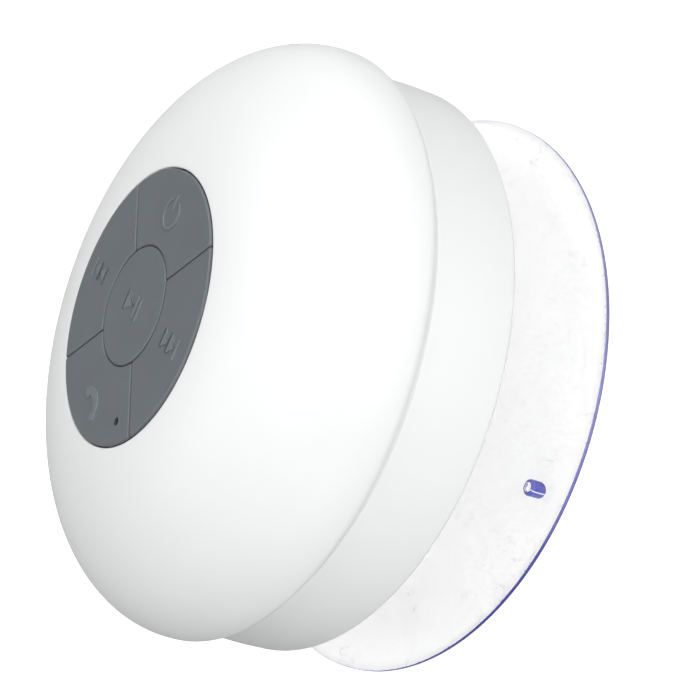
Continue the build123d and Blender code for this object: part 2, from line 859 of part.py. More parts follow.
def port_plug():
    """Soft plug, flush with the drum, with a tongue that fills the way to the socket."""
    face = RectangleRounded(plug_length, plug_height, plug_corner)
    plate = side_prism(Pos(0, port_z) * face) & drum_body()
    plate -= rod(plug_seat_radius + solder_gap, rear_z, drum_top_z)
    tongue = side_prism(Pos(0, port_z) * RectangleRounded(port_width, port_height, plug_edge))
    tongue &= rod(plug_seat_radius + port_gap, rear_z, drum_top_z)
    tip_y = plug_tongue_length - plug_seat_radius
    keep = Pos(0, tip_y - drum_radius / 2, port_z) * Box(2 * plug_length, drum_radius, drum_height)
    return plate + (tongue & keep)


def plug_anchor():
    """Button of the plug's strap, held by a stem in the drum's wall."""
    button = RectangleRounded(anchor_length, plug_height, plug_corner)
    face = side_prism(Pos(anchor_x(), port_z) * button) & drum_body()
    face -= rod(plug_seat_radius + solder_gap, rear_z, drum_top_z)
    stem = side_prism(Pos(anchor_x(), port_z) * Circle(anchor_stem_radius))
    stem &= tube(plug_seat_radius + port_gap, drum_bore, rear_z, drum_top_z)
    return face + stem


def lead_pair(x, y, across, bottom, top):
    """Two insulated wires side by side, running straight up between two levels."""
    wire = rod(lead_radius, bottom, top)
    offsets = [side * lead_spacing / 2 for side in SIDES]
    return group(Pos(x + across[0] * off, y + across[1] * off) * wire for off in offsets)


def battery_leads():
    """Leads from the cell up to the key board."""
    return lead_pair(0, lead_reach, (1, 0), floor_z + battery_height, board_bottom_z)


def charge_leads():
    """Leads from the charging board up to the key board."""
    return lead_pair(0, -lead_reach, (1, 0), charge_board_z, board_bottom_z)


def speaker_leads():
    """Leads from the driver's flange up to the key board."""
    return lead_pair(driver_screw_reach, 0, (0, 1), basket_z, board_bottom_z)


def case_screws():
    """Screws from the rear face through the columns into the shell's bosses."""
    length = dome_z - case_screw_z + case_screw_bite
    blank = screw(case_screw_radius, length, case_head_radius, case_head_height)
    return group(at(case_screw_reach, angle, case_screw_z) * blank for angle in screw_angles())


# ---- Sub-parts ------------------------------------------------------------------------

SUBPARTS = {
    "front_cover": front_cover,
    "front_shell": front_shell,
    "seal_ring": seal_ring,
    "phone_key": phone_key,
    "play_key": play_key,
    "key_mat": key_mat,
    "key_board": key_board,
    "key_switches": key_switches,
    "microphone": microphone,
    "mic_boot": mic_boot,
    "status_led": status_led,
    "radio_module": radio_module,
    "amplifier_chip": amplifier_chip,
    "board_screws": board_screws,
    "rear_housing": rear_housing,
    "rear_mesh": rear_mesh,
    "driver_gasket": driver_gasket,
    "driver_basket": driver_basket,
    "driver_screws": driver_screws,
    "speaker_cone": speaker_cone,
    "surround": surround,
    "spider": spider,
    "voice_coil": voice_coil,
    "top_plate": top_plate,
    "driver_magnet": driver_magnet,
    "driver_yoke": driver_yoke,
    "battery": battery,
    "battery_pad": battery_pad,
    "battery_leads": battery_leads,
    "speaker_leads": speaker_leads,
    "charge_leads": charge_leads,
    "charge_board": charge_board,
    "charge_screws": charge_screws,
    "charge_socket": charge_socket,
    "port_plug": port_plug,
    "plug_anchor": plug_anchor,
    "case_screws": case_screws,
    "suction_cup": suction_cup,
}


def main():
    """Write one file for each sub-part."""
    os.makedirs("parts", exist_ok=True)
    shapes = {name: make() for name, make in SUBPARTS.items()}
    for name, angle in KEYS:
        if name != "phone":
            shapes[name + "_key"] = sector_key(angle)
        shapes[name + "_plunger"] = plunger(key_reach, angle)
    shapes["play_plunger"] = plunger(0.0, 0.0)
    for name, shape in shapes.items():
        export_step(shape, "parts/" + name + ".step")


main()
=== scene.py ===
import json
from math import acos, atan2, cos, degrees, pi, radians, sin, sqrt

import bpy
from mathutils import Matrix, Vector


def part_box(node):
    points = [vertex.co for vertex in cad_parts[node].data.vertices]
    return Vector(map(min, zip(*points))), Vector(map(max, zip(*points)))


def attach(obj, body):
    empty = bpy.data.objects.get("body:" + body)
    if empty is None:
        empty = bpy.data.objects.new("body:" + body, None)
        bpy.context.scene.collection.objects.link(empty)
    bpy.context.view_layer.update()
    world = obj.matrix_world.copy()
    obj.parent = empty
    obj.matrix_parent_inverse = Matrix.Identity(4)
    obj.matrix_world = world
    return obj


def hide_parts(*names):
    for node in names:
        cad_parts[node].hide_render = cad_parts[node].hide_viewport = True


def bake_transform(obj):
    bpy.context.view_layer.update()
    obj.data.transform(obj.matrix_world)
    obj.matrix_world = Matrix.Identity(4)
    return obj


bl_info = {
    "name": "Shower Speaker",
    "version": (1, 0, 0),
    "blender": (4, 5, 0),
    "location": "View3D > Sidebar > Speaker",
    "description": "Builds a round waterproof speaker with keys, charging plug and suction cup",
    "category": "Add Mesh",
}

# The axis is +Z, from the cup to the keypad. +Y is the side of the power key and -Y that
# of the charging plug. Lengths below are in millimetres, and MM turns them to metres.
MM = 0.001

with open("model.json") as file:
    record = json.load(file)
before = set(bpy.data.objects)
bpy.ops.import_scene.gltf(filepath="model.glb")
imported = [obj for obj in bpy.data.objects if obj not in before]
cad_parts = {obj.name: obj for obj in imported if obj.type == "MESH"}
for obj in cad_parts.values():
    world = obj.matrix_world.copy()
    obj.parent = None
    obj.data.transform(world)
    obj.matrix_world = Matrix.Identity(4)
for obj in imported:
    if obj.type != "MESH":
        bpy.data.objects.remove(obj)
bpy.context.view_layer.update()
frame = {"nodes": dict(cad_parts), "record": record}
SLOTS = {row["node"]: row["material_slot"] for row in frame["record"]["subparts"]}


def node_top(name):
    """Highest level of a CAD node, in millimetres."""
    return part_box(name)[1].z / MM


def node_bottom(name):
    """Lowest level of a CAD node, in millimetres."""
    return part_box(name)[0].z / MM


def node_radius(name):
    """Reach of a round CAD node from the axis, in millimetres."""
    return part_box(name)[1].x / MM


def node_corners(name):
    """Lowest and highest corner of a CAD node's box, in millimetres."""
    return [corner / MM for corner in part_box(name)]


# ---- Places on the speaker ---------------------------------------------------------------

REAR_Z = node_bottom("rear_housing")
SEAM_Z = node_bottom("front_cover")
DRUM_TOP_Z = node_bottom("seal_ring")
FACE_Z = node_top("play_key")
KEY_BOTTOM_Z = FACE_Z - 2.2
PORT_Z = (node_bottom("port_plug") + node_top("port_plug")) / 2
COVER_RADIUS = node_radius("front_cover")
CUP_RADIUS = node_radius("suction_cup")
# Radius of the drum at its rear edge, and of the cup where its flange meets its neck.
DRUM_REAR_RADIUS, FLANGE_FOOT = 42.0, 14.0
PAD_RADIUS = node_radius("next_key") + 0.1
PLAY_RADIUS = node_radius("play_key")
OPENING_RADIUS = node_radius("key_mat") + 0.1
PIP_REACH, PIP_ANGLE, PIP_RADIUS = 38.6, 2.0, 1.15
MIC_REACH, MIC_ANGLE, MIC_HOLE_RADIUS = 16.3, -57.5, 0.6
# Side towards which the rim is painted palest, as painted light, in degrees from +X.
LIT_RIM_ANGLE = 110.0
KEY_ANGLES = {"next": 0.0, "power": 90.0, "previous": 180.0, "phone": 270.0}
CORNER_ANGLES = (45, 135, 225, 315)
BOARD_SCREW_ANGLES = (90, 210, 330)
CASE_SCREW = {"shank": 1.3, "head": 2.4, "height": 1.6}
SMALL_SCREW = {"shank": 0.85, "head": 1.6, "height": 1.0}

# Facets of a full turn: usual, fine for the large outer pieces, and for small pieces.
ROUND, FINE_ROUND, SMALL_ROUND = 192, 256, 48


# ---- Colour and nodes ----------------------------------------------------------------------

# A wave pattern turns by this many radians over one unit of its scaled coordinates.
WAVE_RATE = 20


def linear(text):
    """Linear colour from an sRGB hex value."""
    parts = [int(text[i:i + 2], 16) / 255 for i in (1, 3, 5)]
    return [c / 12.92 if c <= 0.04045 else ((c + 0.055) / 1.055) ** 2.4 for c in parts]


def rgba(colour):
    """Linear colour with full alpha, from an sRGB hex value or a linear colour."""
    return (*(linear(colour) if isinstance(colour, str) else colour), 1.0)


def shades(colour, spread):
    """A linear colour a little darker and a little lighter."""
    return [tuple(part * share for part in colour) for share in (1 - spread, 1 + spread)]


def palette():
    """The colours that a user can change."""
    return bpy.context.scene.speaker_colours


def per_mm(size):
    """Noise scale whose features are about this many millimetres wide."""
    return 1.0 / (size * MM)


def fill(node, inputs):
    """Give a node's inputs their values, or links where the value is an output."""
    for name, value in inputs.items():
        if isinstance(value, bpy.types.NodeSocket):
            node.id_data.links.new(value, node.inputs[name])
        else:
            node.inputs[name].default_value = value


def add(tree, kind, output, inputs=None, **settings):
    """Add one node with its settings, values and links, and return one of its outputs."""
    made = tree.nodes.new(kind)
    for name, value in settings.items():
        setattr(made, name, value)
    fill(made, inputs or {})
    return made.outputs[output]


def finish(name, **inputs):
    """New material with one shader: returns the material, its tree and the shader."""
    made = bpy.data.materials.new(name)
    made.use_nodes = True
    tree = made.node_tree
    shader = tree.nodes["Principled BSDF"]
    fill(shader, {socket.replace("_", " "): value for socket, value in inputs.items()})
    return made, tree, shader


# ---- Finishes --------------------------------------------------------------------------------

def patterned(tree, shader, pattern, colours, depth):
    """Let a pattern run between two colours and stand up by a depth in millimetres."""
    mix = {0: pattern, 6: rgba(colours[0]), 7: rgba(colours[1])}
    relief = {"Height": pattern, "Distance": depth * MM, "Strength": 1.0}
    fill(shader, {
        "Base Color": add(tree, "ShaderNodeMix", 2, mix, data_type="RGBA"),
        "Normal": add(tree, "ShaderNodeBump", "Normal", relief),
    })


def moulded(name, colours, roughness, bump=0.006, size=0.3, cloud_size=14.0, **inputs):
    """Moulded or rolled finish: cloudy colour, uneven roughness and fine grain."""
    made, tree, shader = finish(name, **inputs)
    place = add(tree, "ShaderNodeTexCoord", "Object")
    cloud, fine = (
        add(tree, "ShaderNodeTexNoise", "Fac",
            {"Vector": place, "Scale": per_mm(width), "Detail": 3.0, "Roughness": 0.55})
        for width in (cloud_size, size)
    )
    mix = {0: cloud, 6: rgba(colours[0]), 7: rgba(colours[1])}
    gloss = {"Value": cloud, "To Min": roughness[0], "To Max": roughness[1]}
    relief = {"Height": fine, "Distance": bump * MM, "Strength": 1.0}
    fill(shader, {
        "Base Color": add(tree, "ShaderNodeMix", 2, mix, data_type="RGBA"),
        "Roughness": add(tree, "ShaderNodeMapRange", "Result", gloss),
        "Normal": add(tree, "ShaderNodeBump", "Normal", relief),
    })
    return made


def key_silicone(name, colour):
    """Moulded silicone of the keys: matt slate grey with a soft bloom from handling."""
    return moulded(name, shades(colour, 0.07), (0.30, 0.40), 0.006, 0.30, 6.0,
                   IOR=1.43, Sheen_Weight=0.08, Sheen_Roughness=0.5)


def scratches(tree, place, size, shift, width=0.010):
    """Fine scratches: where a noise of a size in millimetres crosses its middle."""
    moved = add(tree, "ShaderNodeMapping", "Vector",
                {"Vector": place, "Location": (shift, shift, shift)})
    noise = add(tree, "ShaderNodeTexNoise", "Fac",
                {"Vector": moved, "Scale": per_mm(size), "Detail": 4.0, "Roughness": 0.6})
    off = add(tree, "ShaderNodeMath", "Value", {0: noise, 1: 0.5}, operation="SUBTRACT")
    side = add(tree, "ShaderNodeMath", "Value", {0: off}, operation="ABSOLUTE")
    return add(tree, "ShaderNodeMapRange", "Result",
               {"Value": side, "From Max": width, "To Min": 1.0, "To Max": 0.0})


def clear_pvc(name):
    """Soft clear PVC, pressed: a glassy film with flow marks, dust specks and scratches."""
    made, tree, shader = finish(name, IOR=1.25, Transmission_Weight=1.0)
    place = add(tree, "ShaderNodeTexCoord", "Object")
    flow, speck, patch = (
        add(tree, "ShaderNodeTexNoise", "Fac",
            {"Vector": place, "Scale": per_mm(size), "Detail": detail, "Roughness": rough})
        for size, detail, rough in ((4.5, 4.0, 0.62), (0.6, 2.0, 0.55), (7.0, 3.0, 0.55))
    )
    marks = [scratches(tree, place, size, shift) for size, shift in ((9.0, 0.0), (5.0, 0.31))]
    film = {}
    for height, depth in ((flow, 0.020), (speck, 0.005), (marks[0], -0.008), (marks[1], -0.008)):
        relief = {"Height": height, "Distance": depth * MM, "Strength": 1.0, **film}
        film = {"Normal": add(tree, "ShaderNodeBump", "Normal", relief)}
    dusty, scuffed = (
        add(tree, "ShaderNodeMapRange", "Result",
            {"Value": noise, "From Min": 0.48, "From Max": high})
        for noise, high in ((speck, 0.66), (patch, 0.6))
    )
    worn = add(tree, "ShaderNodeMath", "Value", {0: marks[0], 1: scuffed}, operation="MULTIPLY")
    dust = add(tree, "ShaderNodeMix", 2, {0: dusty, 6: rgba("#F3F3F3"), 7: rgba("#E7E7E7")},
               data_type="RGBA")
    colour = add(tree, "ShaderNodeMix", 2, {0: worn, 6: dust, 7: rgba("#CECED0")},
                 data_type="RGBA")
    gloss = add(tree, "ShaderNodeMapRange", "Result",
                {"Value": flow, "To Min": 0.0, "To Max": 0.08})
    fill(shader, {"Base Color": colour, "Roughness": gloss, **film})
    return made


def dyed_pvc(name):
    """PVC in which the dye gathers: deep violet and glossy."""
    return moulded(name, shades(palette().rim_dye, 0.1), (0.06, 0.16), 0.004, 1.1, 9.0,
                   IOR=1.53, Transmission_Weight=0.35)


def pvc_edge(name):
    """Cut edge of the PVC, where the sheet is seen end on and its dye gathers, painted paler
    towards one side as painted light.
    """
    made = dyed_pvc(name)
    tree = made.node_tree
    sides = {0: add(tree, "ShaderNodeTexCoord", "Object"), 1: (*around(1.0, LIT_RIM_ANGLE), 0.0)}
    along = add(tree, "ShaderNodeVectorMath", "Value", sides, operation="DOT_PRODUCT")
    share = add(tree, "ShaderNodeMapRange", "Result", {
        "Value": along, "From Min": -0.7 * CUP_RADIUS * MM, "From Max": 0.6 * CUP_RADIUS * MM,
    })
    # Painted light: the dye fades to a pale violet towards the side where the rim is seen lit.
    mix = {0: share, 6: rgba(palette().rim_dye), 7: rgba("#A0A0D3")}
    colour = add(tree, "ShaderNodeMix", 2, mix, data_type="RGBA")
    fill(tree.nodes["Principled BSDF"], {"Base Color": colour})
    return made


def brushed(name, colours, roughness, step=0.35):
    """Turned or rolled metal with concentric tool marks, drawn coarse enough to show.

    A mark repeats every 2 pi steps, in millimetres.
    """
    made = moulded(name, colours, roughness, 0.002, 0.2, 8.0, Metallic=1.0)
    tree = made.node_tree
    place = add(tree, "ShaderNodeTexCoord", "Object")
    turning = {"Vector": place, "Scale": per_mm(step) / WAVE_RATE, "Distortion": 1.5,
               "Detail": 2.0}
    rings = add(tree, "ShaderNodeTexWave", "Fac", turning, wave_type="RINGS", rings_direction="Z")
    relief = {"Height": rings, "Distance": 0.004 * MM, "Strength": 1.0}
    fill(tree.nodes["Principled BSDF"], {"Normal": add(tree, "ShaderNodeBump", "Normal", relief)})
    return made


def woven(name, colours, step):
    """Plain weave of round threads, drawn coarse enough to show, with painted highlights on their
    crowns.

    A thread repeats every 2 pi steps, in millimetres.
    """
    made, tree, shader = finish(name, Roughness=0.7, Sheen_Weight=0.2)
    place = add(tree, "ShaderNodeTexCoord", "Object")
    weave = {"Vector": place, "Scale": per_mm(step) / WAVE_RATE, "Distortion": 0.0}
    warp, weft = (
        add(tree, "ShaderNodeTexWave", "Fac", weave, bands_direction=way) for way in ("X", "Y")
    )
    thread = add(tree, "ShaderNodeMath", "Value", {0: warp, 1: weft}, operation="MAXIMUM")
    # The thread pattern paints the crowns lighter and the gaps darker: painted highlight and
    # painted shade, with a matching bump.
    patterned(tree, shader, thread, colours, step / 3)
    return made


def circuit_board(name):
    """Solder-masked glass-epoxy board with paler tracks under the mask."""
    made, tree, shader = finish(name, IOR=1.5, Roughness=0.32)
    place = add(tree, "ShaderNodeTexCoord", "Object")
    maze = {"Vector": place, "Scale": per_mm(6.0), "Mortar Size": 0.04}
    tracks = add(tree, "ShaderNodeTexBrick", "Fac", maze)
    patterned(tree, shader, tracks, ("#1F5B38", "#3A7D50"), 0.03)
    return made


FINISHES = {
    # Compression-moulded silicone rubber: satin, a little light passes into its skin.
    "white_silicone": lambda name: moulded(
        name, shades(palette().cover, 0.013), (0.40, 0.50), 0.004, 0.35, 22.0,
        IOR=1.43, Subsurface_Weight=0.18, Subsurface_Radius=(1.0, 0.92, 0.86),
        Subsurface_Scale=1.2 * MM, Specular_IOR_Level=0.42,
    ),
    # The plug's silicone, the same white as the cover but a touch waxier.
    "plug_silicone": lambda name: moulded(
        name, shades(palette().plug, 0.018), (0.42, 0.52), 0.004, 0.35,
        IOR=1.43, Subsurface_Weight=0.2, Subsurface_Radius=(1.0, 0.9, 0.85),
        Subsurface_Scale=0.8 * MM,
    ),
    # Milky silicone of the seal.
    "clear_silicone": lambda name: moulded(
        name, ("#E0E2E2", "#E5E7E7"), (0.38, 0.5), 0.004, 0.4,
        IOR=1.43, Transmission_Weight=0.08,
    ),
    "grey_silicone": lambda name: key_silicone(name, palette().keys_grey),
    # The keys' raised symbols, painted a little paler than the keys: a painted highlight for the
    # light that their raised edges catch.
    "rubbed_silicone": lambda name: key_silicone(name, shades(palette().keys_grey, 0.22)[1]),
    # Grey silicone of the mat, painted darker than the keys: painted shade for the gaps round the
    # keys where it shows.
    "mat_silicone": lambda name: moulded(
        name, ("#4C5155", "#53585C"), (0.62, 0.72), 0.006, 0.30, 5.0, IOR=1.43,
    ),
    # Injection-moulded ABS with a fine spark-eroded grain: harder and glossier.
    "white_abs": lambda name: moulded(
        name, shades(palette().case, 0.013), (0.30, 0.40), 0.006, 0.28, 18.0, IOR=1.54,
    ),
    "clear_pvc": clear_pvc,
    "clear_pvc_edge": pvc_edge,
    "pvc_pip": dyed_pvc,
    # Painted highlight: a thin pale, glossy stripe with no dye in it, standing for a lamp's
    # reflection up the pip's side.
    "pvc_flash": lambda name: moulded(name, ("#E6E6F2", "#F0F0F6"), (0.15, 0.25), 0.004),
    "circuit_board": circuit_board,
    # Tinned sheet, rolled: a soft grey shine.
    "shield_can": lambda name: brushed(name, ("#B4B6B6", "#C6C8C8"), (0.25, 0.4)),
    # Zinc-plated steel, bright with faint turning marks.
    "steel": lambda name: brushed(name, ("#B9BBBD", "#C9CBCD"), (0.22, 0.34)),
    # Pressed steel, blackened: a dark, dull shine.
    "basket_steel": lambda name: brushed(name, ("#3A3C3E", "#4A4C4E"), (0.4, 0.5)),
    # Wound copper wire: its turns show as fine rings.
    "copper": lambda name: brushed(name, ("#B5673A", "#C97B4B"), (0.25, 0.35), 0.15),
    # Moulded nylon: satin black, and a creamy natural one for the plungers.
    "black_nylon": lambda name: moulded(name, ("#1B1C1E", "#25272A"), (0.4, 0.55)),
    "plunger_nylon": lambda name: moulded(name, ("#C9C4B4", "#D6D1C2"), (0.4, 0.5)),
    # Moulded rubber: dull black.
    "black_rubber": lambda name: moulded(name, ("#1C1C1C", "#262626"), (0.6, 0.75)),
    # Moulded lens: glossy and nearly white.
    "led_lens": lambda name: moulded(name, ("#E8EDF2", "#F0F4F7"), (0.1, 0.2)),
    # Woven mesh and cloth: crossed threads, with a painted highlight on their crowns and painted
    # shade between.
    "black_mesh": lambda name: woven(name, ("#101113", "#303236"), 0.6),
    "spider_cloth": lambda name: woven(name, ("#8A6A34", "#B8924F"), 0.5),
    # Cut foam: open, rough and without any shine.
    "foam": lambda name: moulded(name, ("#2B2C2E", "#3A3B3D"), (0.85, 0.95), 0.12, 0.6),
    # Pressed paper pulp: dull black and a little fibrous.
    "cone_paper": lambda name: moulded(name, ("#1E1E1F", "#2C2C2D"), (0.7, 0.85), 0.05, 0.5),
    # Sintered ferrite: dark grey and slightly grainy.
    "ferrite": lambda name: moulded(name, ("#2A2B2D", "#37383A"), (0.5, 0.65), 0.03, 0.4),
    # Laminated aluminium foil: silvery with soft creases.
    "pouch_foil": lambda name: moulded(
        name, ("#B9BCBE", "#D0D3D5"), (0.3, 0.4), 0.03, 1.5, Metallic=0.9,
    ),
    # Extruded PVC insulation of the leads: smooth and a little glossy.
    "lead_wire": lambda name: moulded(name, ("#A3231D", "#B32B24"), (0.35, 0.45)),
    "red_wire": lambda name: moulded(name, ("#A3231D", "#B32B24"), (0.35, 0.45)),
    "black_wire": lambda name: moulded(name, ("#1B1B1C", "#252526"), (0.35, 0.45)),
    # Tin solder, bright and a little frosted where it froze.
    "solder": lambda name: moulded(
        name, ("#B4B5B6", "#C8C9CA"), (0.25, 0.45), 0.02, Metallic=1.0,
    ),
}


def finished(name):
    """The material of that name, made when it is first needed."""
    return bpy.data.materials.get(name) or FINISHES[name](name)


def dress(piece, material, body, replaces=()):
    """Give a piece its material and its body, and hide the CAD parts it stands for."""
    piece.data.materials.clear()
    piece.data.materials.append(material)
    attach(piece, body)
    if replaces:
        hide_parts(*replaces)
    return piece


def stand_in(piece, node, body="speaker"):
    """Let a piece take a CAD node's place with the node's own finish."""
    return dress(piece, finished(SLOTS[node]), body, [node])


# ---- Modelling by hand -------------------------------------------------------------------

def begin(name):
    """Name the primitive just added and start to shape it."""
    piece = bpy.context.object
    piece.name = piece.data.name = name
    bpy.ops.object.mode_set(mode="EDIT")
    bpy.ops.mesh.select_mode(type="VERT")
    bpy.ops.mesh.select_all(action="SELECT")
    return piece


def select_none():
    """Leave edit mode and deselect everything, the frame's parts among them."""
    if bpy.context.object and bpy.context.object.mode != "OBJECT":
        bpy.ops.object.mode_set(mode="OBJECT")
    bpy.ops.object.select_all(action="DESELECT")


def pick(*pieces):
    """Select only these pieces, with the first of them active."""
    select_none()
    for piece in pieces:
        piece.select_set(True)
    bpy.context.view_layer.objects.active = pieces[0]


def settle(piece, smooth=35.0):
    """Put the object at the origin with its place in its mesh, and smooth its shading."""
    pick(piece)
    bpy.ops.object.transform_apply(location=True, rotation=True, scale=True)
    bpy.ops.object.shade_smooth_by_angle(angle=radians(smooth))
    return piece


def choose(piece, kind, test):
    """Select only the faces or vertices that a test of their place and normal takes."""
    bpy.ops.mesh.select_all(action="DESELECT")
    bpy.ops.mesh.select_mode(type=kind)
    bpy.ops.object.mode_set(mode="OBJECT")
    if kind == "FACE":
        spots = [(face, face.center) for face in piece.data.polygons]
    else:
        spots = [(vertex, vertex.co) for vertex in piece.data.vertices]
    for element, spot in spots:
        element.select = test(piece.matrix_world @ spot, element.normal)
    bpy.ops.object.mode_set(mode="EDIT")


def weld():
    """Merge the vertices of the mesh being shaped that lie on each other."""
    bpy.ops.mesh.select_all(action="SELECT")
    bpy.ops.mesh.remove_doubles(threshold=0.0005 * MM)


def turn_outward():
    """Turn the normals of the mesh being shaped outwards."""
    bpy.ops.mesh.select_all(action="SELECT")
    bpy.ops.mesh.normals_make_consistent(inside=False)


def thicken(step):
    """Fill the outline just drawn and extrude it into a closed block."""
    bpy.ops.mesh.select_all(action="SELECT")
    bpy.ops.mesh.edge_face_add()
    bpy.ops.mesh.extrude_region_move(TRANSFORM_OT_translate={"value": step})
    turn_outward()


def around(reach, angle):
    """Place across the axis at a reach and an angle, in millimetres."""
    return (reach * cos(radians(angle)), reach * sin(radians(angle)))


def arc(centre, radii, start, end, count):
    """Points along part of an ellipse between two angles in degrees."""
    steps = [radians(start + (end - start) * i / count) for i in range(count + 1)]
    return [(centre[0] + radii[0] * cos(a), centre[1] + radii[1] * sin(a)) for a in steps]


def disc(centre, radius, count=24):
    """Closed outline of a disc."""
    return arc(centre, (radius, radius), 0, 360, count)


def pen(name, points, level=0.0, upright=False):
    """Draw a line of points by extruding a vertex: level, or upright as radius and level."""
    spots = [Vector((x, 0, y)) if upright else Vector((x, y, level)) for x, y in points]
    select_none()
    bpy.ops.mesh.primitive_plane_add(size=MM, location=spots[0] * MM)
    piece = begin(name)
    bpy.ops.mesh.merge(type="CENTER")
    for before, after in zip(spots, spots[1:]):
        step = (after - before) * MM
        bpy.ops.mesh.extrude_region_move(TRANSFORM_OT_translate={"value": step})
    weld()
    return piece


def turned(name, outline, steps=ROUND):
    """Turn a closed outline of radius and level about the axis."""
    piece = pen(name, outline, upright=True)
    bpy.ops.mesh.select_all(action="SELECT")
    bpy.ops.mesh.spin(steps=steps, angle=2 * pi, center=(0, 0, 0), axis=(0, 0, 1))
    weld()
    turn_outward()
    return settle(piece)


def slab(name, outline, bottom, top, edge=0.0, segments=4):
    """Flat piece from a closed outline, with its upper edge rounded."""
    piece = pen(name, outline, bottom)
    thicken((0, 0, (top - bottom) * MM))
    if edge:
        choose(piece, "FACE", lambda spot, normal: normal.z > 0.9)
        bpy.ops.mesh.bevel(offset=edge * MM, segments=segments, affect="EDGES", profile=0.5)
        # A narrow flat border keeps the edge's soft shading off the level top.
        choose(piece, "FACE", lambda spot, normal: normal.z > 0.999)
        bpy.ops.mesh.inset(thickness=edge / 8 * MM)
    return settle(piece, 40.0)


def side_block(name, outline, start, end):
    """Block that runs out towards -Y between two reaches, from an outline of X and Z."""
    piece = pen(name, outline, upright=True)
    bpy.ops.mesh.select_all(action="SELECT")
    bpy.ops.transform.translate(value=(0, -start * MM, 0))
    thicken((0, (start - end) * MM, 0))
    return settle(piece)


def block(name, low, high, rounding, segments=3):
    """Box between two corners in millimetres, with all its edges rounded."""
    low, high = Vector(low) * MM, Vector(high) * MM
    middle = (low + high) / 2
    select_none()
    bpy.ops.mesh.primitive_cube_add(size=1.0, location=middle)
    piece = begin(name)
    bpy.ops.transform.resize(value=high - low, center_override=middle)
    bpy.ops.mesh.bevel(offset=rounding * MM, segments=segments, affect="EDGES")
    return settle(piece, 60.0)


def cut_with(piece, tool, operation="DIFFERENCE"):
    """Apply a boolean with another piece, which is used up."""
    pick(piece)
    modifier = piece.modifiers.new("cut", "BOOLEAN")
    modifier.operation = operation
    modifier.solver = "EXACT"
    modifier.object = tool
    bpy.ops.object.modifier_apply(modifier="cut")
    bpy.data.objects.remove(tool)
    return piece


def joined(name, parts):
    """Join parts into one piece with one mesh."""
    pick(*parts)
    bpy.ops.object.join()
    parts[0].name = parts[0].data.name = name
    return parts[0]


def copied(piece, name, angle=0.0, shift=(0, 0, 0)):
    """Copy a piece with its own mesh, turned about the axis by degrees and moved."""
    pick(piece)
    bpy.ops.object.duplicate(linked=False)
    copy = bpy.context.object
    copy.name = copy.data.name = name
    copy.rotation_euler.z = radians(angle)
    copy.location = Vector(shift) * MM
    return settle(copy)


def placed(piece, x, y):
    """Move a piece that was made on the axis to its own place, in millimetres."""
    piece.location = Vector((x, y, 0.0)) * MM
    return settle(piece)


def skin(line, thickness):
    """Outline of a thin sheet that lies on a line of radius and level."""
    outline = line + [(r, z + thickness) for r, z in reversed(line)]
    return outline if line[0][0] == 0 else outline + outline[:1]


def rounded_box(cx, cy, width, height, corner, count=4, left=None):
    """Closed outline of a rectangle with rounded corners, those on its left of their own size."""
    points = []
    for turn, sx, sy in ((0, 1, 1), (90, -1, 1), (180, -1, -1), (270, 1, -1)):
        radius = left if left and sx < 0 else corner
        middle = (cx + sx * (width / 2 - radius), cy + sy * (height / 2 - radius))
        points += arc(middle, (radius, radius), turn, turn + 90, count)
    return points + points[:1]


# ---- Sizes and colours a user would change -------------------------------------------

class SpeakerSizes(bpy.types.PropertyGroup):
    """Sizes of the speaker's looks, in metres."""

    opening_edge: bpy.props.FloatProperty(
        name="Opening edge", description="Rounding of the cover's edge around the keypad",
        default=0.22 * MM, unit="LENGTH",
    )
    key_edge: bpy.props.FloatProperty(
        name="Key edge", description="Rounding of the keys' upper edges",
        default=0.28 * MM, unit="LENGTH",
    )
    groove: bpy.props.FloatProperty(
        name="Groove", description="Width of the gap between two keys",
        default=0.12 * MM, unit="LENGTH",
    )
    symbol_height: bpy.props.FloatProperty(
        name="Symbol height", description="How far the symbols stand up from the keys",
        default=0.18 * MM, unit="LENGTH",
    )


class SpeakerColours(bpy.types.PropertyGroup):
    """Colours of the speaker's main pieces."""

    cover: bpy.props.FloatVectorProperty(
        name="Cover", description="Colour of the soft cover", subtype="COLOR", size=3,
        default=linear("#E3E4E4"), min=0.0, max=1.0,
    )
    case: bpy.props.FloatVectorProperty(
        name="Case", description="Colour of the hard case", subtype="COLOR", size=3,
        default=linear("#E2E3E3"), min=0.0, max=1.0,
    )
    keys_grey: bpy.props.FloatVectorProperty(
        name="Keys", description="Colour of the keys", subtype="COLOR", size=3,
        default=linear("#606569"), min=0.0, max=1.0,
    )
    plug: bpy.props.FloatVectorProperty(
        name="Plug", description="Colour of the charging plug", subtype="COLOR", size=3,
        default=linear("#E0E1E1"), min=0.0, max=1.0,
    )
    rim_dye: bpy.props.FloatVectorProperty(
        name="Rim", description="Colour of the cup's cut edge", subtype="COLOR", size=3,
        default=linear("#4C4CB4"), min=0.0, max=1.0,
    )


class StageLights(bpy.types.PropertyGroup):
    """Camera and lights."""

    lens: bpy.props.FloatProperty(
        name="Lens", description="Focal length on a 36 mm sensor, in millimetres", default=85.0,
    )
    sky: bpy.props.FloatProperty(
        name="Sky", description="Strength of the even light from all round", default=0.158,
    )
    light_scale: bpy.props.FloatProperty(
        name="Lights", description="Scale of all the studio lights' power", default=1.0,
    )
    floor_glow: bpy.props.FloatProperty(
        name="Floor glow", description="Light that the floor's lit table gives", default=0.62,
    )
    wall_glow: bpy.props.FloatProperty(
        name="Wall glow", description="Light that the pale wall gives", default=0.85,
    )
    floor_colour: bpy.props.FloatVectorProperty(
        name="Floor", description="Colour of the floor", subtype="COLOR", size=3,
        default=linear("#F4F4F4"), min=0.0, max=1.0,
    )


# ---- CAD parts that keep their shape -----------------------------------------------------

